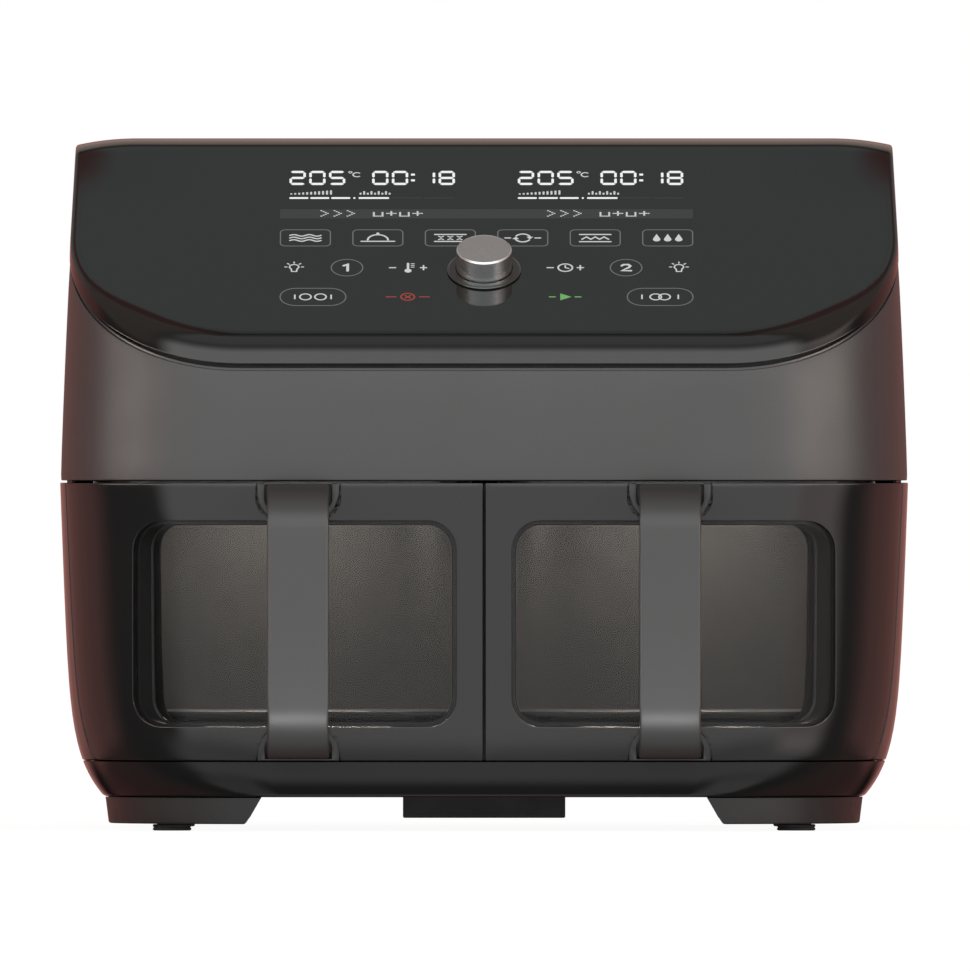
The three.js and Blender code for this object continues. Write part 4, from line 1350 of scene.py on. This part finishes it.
def roast_symbol(ink):
    ink.line(0.85, *arc(0, -1.8, 4.6, 0, 180, 14))
    ink.line(0.85, (-7.5, -2.9), (7.5, -2.9))
    ink.fill(circle(0, 3.9, 0.75, 12))


def bake_symbol(ink):
    for end in (-1, 1):
        ink.line(0.85, (-7, 3 * end), (7, 3 * end))
        for x in (-4.2, 0, 4.2):
            ink.line(0.6, (x - 1.1, 1.5 * end), (x, 0.6 * end), (x + 1.1, 1.5 * end))


def reheat_symbol(ink):
    for flip in (-1, 1):
        ink.line(0.85, *((flip * x, flip * v) for x, v in arc(0, 0, 3.4, 20, 150, 10)))
        ink.fill([(flip * x, flip * v) for x, v in ((1.7, 0.9), (3.2, -1), (4.7, 0.9))])
        ink.line(0.8, (flip * 5.6, 0), (flip * 8, 0))


def grill_symbol(ink):
    ink.line(0.85, (-7, 3), (7, 3))
    ink.line(0.8, *((-6 + 2 * k, 0.9 if k % 2 else -1.1) for k in range(7)))
    ink.line(0.85, (-7, -3.2), (7, -3.2))


def dry_symbol(ink):
    for shift in (-5, 0, 5):
        ink.fill([*arc(shift, -1.2, 1.7, 150, 390, 14), (shift, 3.4)])


def lamp_symbol(ink):
    """Bulb with rays."""
    ink.line(0.65, (1.1, -3.8), *arc(0, 0, 2.1, -50, 230, 16), (-1.1, -3.8))
    ink.line(0.65, (-1.1, -3.9), (1.1, -3.9))
    for angle in range(0, 181, 45):
        turn = math.radians(angle)
        ink.line(0.65, *((r * math.cos(turn), r * math.sin(turn)) for r in (3.3, 4.2)))


def less_and_more(ink, reach):
    """Minus to the left of a symbol and plus to its right."""
    for x in (-reach, reach):
        ink.line(0.8, (x - 1.3, 0), (x + 1.3, 0))
    ink.line(0.75, (reach, -1.8), (reach, 1.8))


def thermometer_symbol(ink):
    ink.fill(circle(0, -2.6, 1.6, 16))
    ink.line(1.1, (0, -2.2), (0, 3.6))
    for rise in (0.4, 1.9, 3.4):
        ink.line(0.55, (1.5, rise), (2.7, rise))
    less_and_more(ink, 7)


def clock_symbol(ink):
    ink.ring(0, 0, 3.6, 0.75)
    ink.line(0.65, (0, 1.9), (0, 0), (1.6, -0.7))
    less_and_more(ink, 6.8)


def numeral(ink, side):
    """1 on the left key, 2 on the right one."""
    if side < 0:
        ink.line(1.25, (-1.5, 1.7), (0.3, 2.7), (0.3, -2.7))
    else:
        ink.line(1.15, (-2, 1.6), (-1.2, 2.6), (0.9, 2.7), (1.9, 1.6), (1.4, 0.3), (-1.9, -2.6), (2.2, -2.6))


def pair_symbol(ink, side):
    """Two rings for the two drawers, apart on the left key and linked on the right one."""
    gap = 2.0 if side > 0 else 3.4
    for end in (-1, 1):
        ink.ring(end * gap, 0, 2.9, 0.7)
        ink.line(0.7, (end * 8.2, -1.6), (end * 8.2, 1.6))


def stop_symbol(ink):
    ink.ring(0, 0, 3.4, 0.75)
    for end in (-1, 1):
        ink.line(0.7, (-1.2, -1.2 * end), (1.2, 1.2 * end))
        ink.line(0.75, (end * 5.4, 0), (end * 9.6, 0))


def go_symbol(ink):
    ink.fill([(-2.2, -2.9), (2.8, 0), (-2.2, 2.9)])
    for end in (-1, 1):
        ink.line(0.8, (end * 4.6, 0), (end * 7, 0))


GRAPHICS_X = 1.1
KEY_V = 28.2  # rows of keys, from the knob's axis
LAMP_V = 3.2
NUMBER_V = 2.6
LOW_V = -22.5
KEY_PITCH = 32.8
NUMBER_X = 63.1
PAIR_X = 78.4


def panel_graphics():
    """Lit digits, bars and symbols, and outlines printed round the touch keys; the outlines and the unlit
    progress bars carry a painted glow.
    """
    inks = {name: Print() for name in INK}
    inks["band"] = Print(0.005, 0.03)
    # the line ink is the key outlines' print, with a painted glow
    label, line = inks["label"], inks["line"]
    middle = GRAPHICS_X
    for group in (0, 1):
        x = middle - 89.4 + group * 103.6
        readout(*(inks[name].at(x, 0) for name in ("bright", "label", "dim")))
        dot_matrix(label.at(middle - 75.3 + group * 102.7, 46.7))
    inks["band"].at(middle, 0).bar(-93.5, 93.5, 45.1, 53, 0.4)
    symbols = (air_symbol, roast_symbol, bake_symbol, reheat_symbol, grill_symbol, dry_symbol)
    for k, symbol in enumerate(symbols):
        x = middle + (k - 2.5) * KEY_PITCH
        line.at(x, KEY_V).frame(11.55, -7.2, 7.3, 2.6)
        symbol(label.at(x, KEY_V))
    for side in (-1, 1):
        lamp_symbol(label.at(middle + side * 87, LAMP_V))
        line.at(middle + side * NUMBER_X, NUMBER_V).ring(0, 0, 7.4, 0.5)
        numeral(label.at(middle + side * NUMBER_X, NUMBER_V), side)
        line.at(middle + side * PAIR_X, LOW_V).frame(15.1, -7.7, 7.6, 7.4)
        pair_symbol(label.at(middle + side * PAIR_X, LOW_V), side)
    thermometer_symbol(label.at(middle - 35.5, NUMBER_V))
    clock_symbol(label.at(middle + 35.6, NUMBER_V))
    stop_symbol(inks["stop"].at(middle - 35.6, LOW_V))
    go_symbol(inks["go"].at(middle + 35.5, LOW_V))
    for name, ink in inks.items():
        add_piece(f"panel_print_{name}", ink.moved(panel_place()), "casing", "display_black",
                  finish=name, weighted=False)


# ---------------------------------------------------------------- back

def rear_cover():
    """Grille of short slots, leaning with the back wall."""
    low, high = node_box("rear_cover")
    slots = []
    for row in range(6):
        z = 193 + row * 14
        for centre in (-96.5, -53.5, 53.5, 96.5):
            slots.append(rounded_rectangle(centre - 20, centre + 20, z, z + 5, [2.4] * 4))
    outline = rounded_rectangle(-131.6, 131.6, low.z, high.z, [3] * 4)
    flat = plate("rear_cover_grille", [outline, *slots], -1.2, 1.2, 0.5)
    middle = (low.z + high.z) / 2
    seat = Matrix.Translation((0, (rear_at(middle) - 1.6) * MM, middle * MM))
    lean = Matrix.Rotation(math.radians(90) + math.atan(UPPER_DRAFT), 4, "X")
    flat.data.transform(seat @ lean @ Matrix.Translation((0, -middle * MM, 0)))
    finish_piece(flat, "casing", "dark_plastic", "rear_cover")


def rear_spacer():
    """Block behind the body that keeps it off the wall, with two grooves down its back."""
    low, high = node_box("rear_spacer")
    outline = rounded_rectangle(low.x, high.x, low.y, high.y, (1, 1, 8, 8), 6)
    back = next(i for i, (x, y) in enumerate(outline) if y > high.y - 0.01 and x < high.x - 7)
    notches = []
    for x in (23.4, -22.8):
        notches += [(x + 1, high.y), (x + 1, high.y - 2), (x - 1, high.y - 2), (x - 1, high.y)]
    outline = [*outline[:back + 1], *notches, *outline[back + 1:]]
    form = Form()
    levels = [(low.z, 0.5), (low.z + 0.5, 0), (high.z - 0.5, 0), (high.z, 0.5)]
    form.tube([[(x, y, z) for x, y in offset_loop(outline, -inset)] for z, inset in levels])
    add_piece("rear_spacer_block", form, "casing", "dark_plastic", "rear_spacer", "black_rubber", angle=40)


# ---------------------------------------------------------------- pieces kept from the frame

KEPT_PAIRS = {
    "cavity_liner": "bare_steel", "heater_shroud": "bare_steel", "heating_element": "dark_metal",
    "heater_guard": "bare_steel", "convection_fan": "bare_steel", "fan_motor": "dark_metal",
    "cooling_fan": "dark_plastic", "cavity_lamp": "lamp_glass", "temperature_probe": "bare_steel",
    "drawer_switch": "dark_plastic",
}
KEPT_ONCE = {
    "display_module": "display_black", "control_board": "circuit_board", "power_board": "circuit_board",
    "knob_encoder": "dark_metal", "cord_gland": "black_rubber",
}


def finish_kept_nodes():
    """Gives the frame's own nodes that stay visible their finish."""
    pairs = {f"{name}_{side_name}": slot for name, slot in KEPT_PAIRS.items() for side_name, _side in SIDES}
    for name, slot in {**pairs, **KEPT_ONCE}.items():
        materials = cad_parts[name].data.materials
        materials.clear()
        materials.append(FINISH[slot])


# ---------------------------------------------------------------- light, floor and camera

WARM = (1, 0.86, 0.82)
LEFT_GLOW = (1, 0.85, 0.8)
RIGHT_GLOW = (1, 0.88, 0.81)
BROWN = (1, 0.8, 0.7)
RED = (1, 0.42, 0.37)
ROSE = (1, 0.78, 0.68)
COOL = (0.94, 1, 1)
FRONT_SIDES = (-50, 46, 8)
BRIGHT_LINE = (4, 2, 8.5, 2)  # low and narrow, for the streak down each rounded front corner


def pair(sides, heights, colour, strength):
    """The same patch on the left and on the right."""
    start, end, soft = sides
    return ((-end, -start, soft), heights, colour, strength), (sides, heights, colour, strength)


# sides: azimuth from, to, softness, with 0 in front; heights: elevation from, its softness, to, its softness
PATCHES = (
    (FRONT_SIDES, (-27, 7, 42, 12), WHITE, 1.22),
    (FRONT_SIDES, (2, 3, 42, 12), WHITE, 1.1),
    (FRONT_SIDES, (50, 12, 88, 8), WHITE, 0.65),
    ((-60, 72, 12), (-58, 7, -27, 7), WHITE, 0.56),
    ((-70, -14, 8), (-80, 6, -60, 6), WHITE, 0.35),
    ((14, 70, 8), (-80, 6, -60, 6), WHITE, 0.5),
    ((46, 78, 9), (-34, 7, 30, 6), WARM, 1.1),
    ((-94, -52, 10), BRIGHT_LINE, LEFT_GLOW, 17.5),
    ((42, 86, 9), BRIGHT_LINE, RIGHT_GLOW, 14.2),
    ((-112, -54, 12), (18, 8, 85, 8), BROWN, 0.4),
    ((50, 112, 12), (18, 8, 85, 8), BROWN, 0.4),
    *pair((100, 220, 12), (-12, 6, 20, 8), RED, 0.5),
    *pair((100, 144, 10), (-22, 6, -12, 6), RED, 0.5),
    *pair((100, 220, 12), (-70, 8, -22, 6), RED, 0.13),
    *pair((112, 156, 10), (18, 8, 54, 6), WHITE, 0.4),
    *pair((156, 220, 8), (20, 7, 48, 5), ROSE, 0.72),
    *pair((167, 220, 5), (54, 5, 85, 8), COOL, 0.4),
    *pair((110, 167, 5), (54, 5, 85, 8), RED, 0.26),
    ((-220, 220, 1), (-95, 2, -82, 5), WHITE, 0.7),
)


def between_angles(tree, angle, low, low_soft, high, high_soft):
    """1 where an angle lies between two limits in degrees, falling softly to 0 round each of them."""
    steps = []
    for centre, soft, start in ((low, low_soft, 0), (high, high_soft, 1)):
        steps.append(add_node(tree, "MapRange", {
            "Value": angle, "From Min": math.radians(centre - soft), "From Max": math.radians(centre + soft),
            "To Min": start, "To Max": 1 - start}, interpolation_type="SMOOTHSTEP")["Result"])
    return calculated(tree, "MULTIPLY", *steps)


def direction_patch(tree, azimuth, elevation, patch):
    """Emission colour inside a window of directions."""
    (left, right, soft), heights, colour, strength = patch
    across = between_angles(tree, azimuth, left, soft, right, soft)
    upright = between_angles(tree, elevation, *heights)
    share = calculated(tree, "MULTIPLY", across, upright)
    values = {0: [c * strength for c in colour], "Scale": share}
    return add_node(tree, "VectorMath", values, operation="SCALE")["Vector"]


def sky():
    """Plain white to the camera; to everything else a studio of large soft panels."""
    world = bpy.data.worlds.new("studio")
    bpy.context.scene.world = world
    world.use_nodes = True
    tree = world.node_tree
    tree.nodes.clear()
    way = add_node(tree, "SeparateXYZ", {"Vector": add_node(tree, "TexCoord")["Generated"]})
    azimuth = calculated(tree, "ARCTAN2", way["X"], calculated(tree, "MULTIPLY", way["Y"], -1))
    elevation = calculated(tree, "ARCSINE", way["Z"])
    total, *others = (direction_patch(tree, azimuth, elevation, patch) for patch in PATCHES)
    for patch in others:
        total = add_node(tree, "VectorMath", {0: total, 1: patch}, operation="ADD")["Vector"]
    studio = add_node(tree, "Background", {"Color": total})["Background"]
    plain = add_node(tree, "Background", {"Color": (*WHITE, 1)})["Background"]
    seen = add_node(tree, "LightPath")["Is Camera Ray"]
    mixed = add_node(tree, "MixShader", {"Fac": seen, 1: studio, 2: plain})["Shader"]
    add_node(tree, "OutputWorld", {"Surface": mixed})


def soft_light(name, place, tilt, size, energy, colour):
    """Small area light that doesn't show itself; tilt is from straight down, towards the back."""
    data = bpy.data.lights.new(name, "AREA")
    data.shape = "RECTANGLE"
    data.size, data.size_y = (length * MM for length in size)
    data.energy = energy
    data.color = colour
    lamp = bpy.data.objects.new(name, data)
    lamp.location = [c * MM for c in place]
    lamp.rotation_euler = (math.radians(tilt), 0, 0)
    lamp.visible_camera = False
    bpy.context.scene.collection.objects.link(lamp)
    return lamp


def small_lights():
    """Warm light from each cavity's lamp, and a low light that only the handles take."""
    straps = bpy.data.collections.new("straps")
    for side_name, side in SIDES:
        soft_light(f"cavity_light_{side_name}", (side * 88, 46, 151), 0, (90, 20), 0.3, (1.0, 0.9, 0.8))
        low = soft_light(f"handle_light_{side_name}", (side * HANDLE_X, -255, 12), 125, (40, 24), 0.03, WHITE)
        low.light_linking.receiver_collection = straps
        straps.objects.link(bpy.data.objects[f"handle_{side_name}_strap"])


def floor():
    """Pale floor that takes soft shadows and doesn't tint the object."""
    mesh = bpy.data.meshes.new("floor")
    reach = 40
    corners = [(-reach, -reach, 0), (reach, -reach, 0), (reach, reach, 0), (-reach, reach, 0)]
    mesh.from_pydata(corners, [], [(0, 1, 2, 3)])
    made = bpy.data.objects.new("floor", mesh)
    bpy.context.scene.collection.objects.link(made)
    mesh.materials.append(principled("pale floor", [0.12] * 3, 1.0, Specular_IOR_Level=0.0,
                                     Emission_Color=(*WHITE, 1), Emission_Strength=0.94))
    made.visible_diffuse = False
    made.visible_glossy = False


def camera():
    """Long lens straight in front, level with the middle of the body."""
    data = bpy.data.cameras.new("camera")
    data.lens = 1500
    data.sensor_width = 36
    data.sensor_fit = "HORIZONTAL"
    data.clip_end = 200
    view = bpy.data.objects.new("camera", data)
    view.location = (0.0004, -18.387, 0.1561)
    view.rotation_euler = (math.radians(90), 0, 0)
    bpy.context.scene.collection.objects.link(view)
    bpy.context.scene.camera = view


# ---------------------------------------------------------------- assembly

def build():
    for make in (top_cover, control_panel, upper_housing, lid_joint, soffit, seam_flange, lower_housing,
                 cavity_divider, base_pan, rear_cover, rear_spacer):
        make()
    outer_loop, window_loop = face_loops()
    for side_name, side in SIDES:
        for end_name, end in (("front", -1), ("rear", 1)):
            foot(end_name, end, side_name, side)
            foot_pad(f"foot_pad_{end_name}_{side_name}")
        drawer_front(side_name, side, outer_loop, window_loop)
        pane("outer", side_name, side, CLEARANCE, 0.5, 2.6)
        pane("inner", side_name, side, INNER_FRAME + CLEARANCE, TUB_DEPTH + 0.2, 0.9)
        gasket(side_name, side)
        handle(side_name, side)
        socket("top", side_name, side)
        socket("bottom", side_name, side)
        drawer_tub(side_name, side)
        crisper_tray(side_name, side)
    knob()
    panel_graphics()
    finish_kept_nodes()


bpy.context.scene.view_settings.view_transform = "Standard"
camera()
sky()
floor()
build()
small_lights()
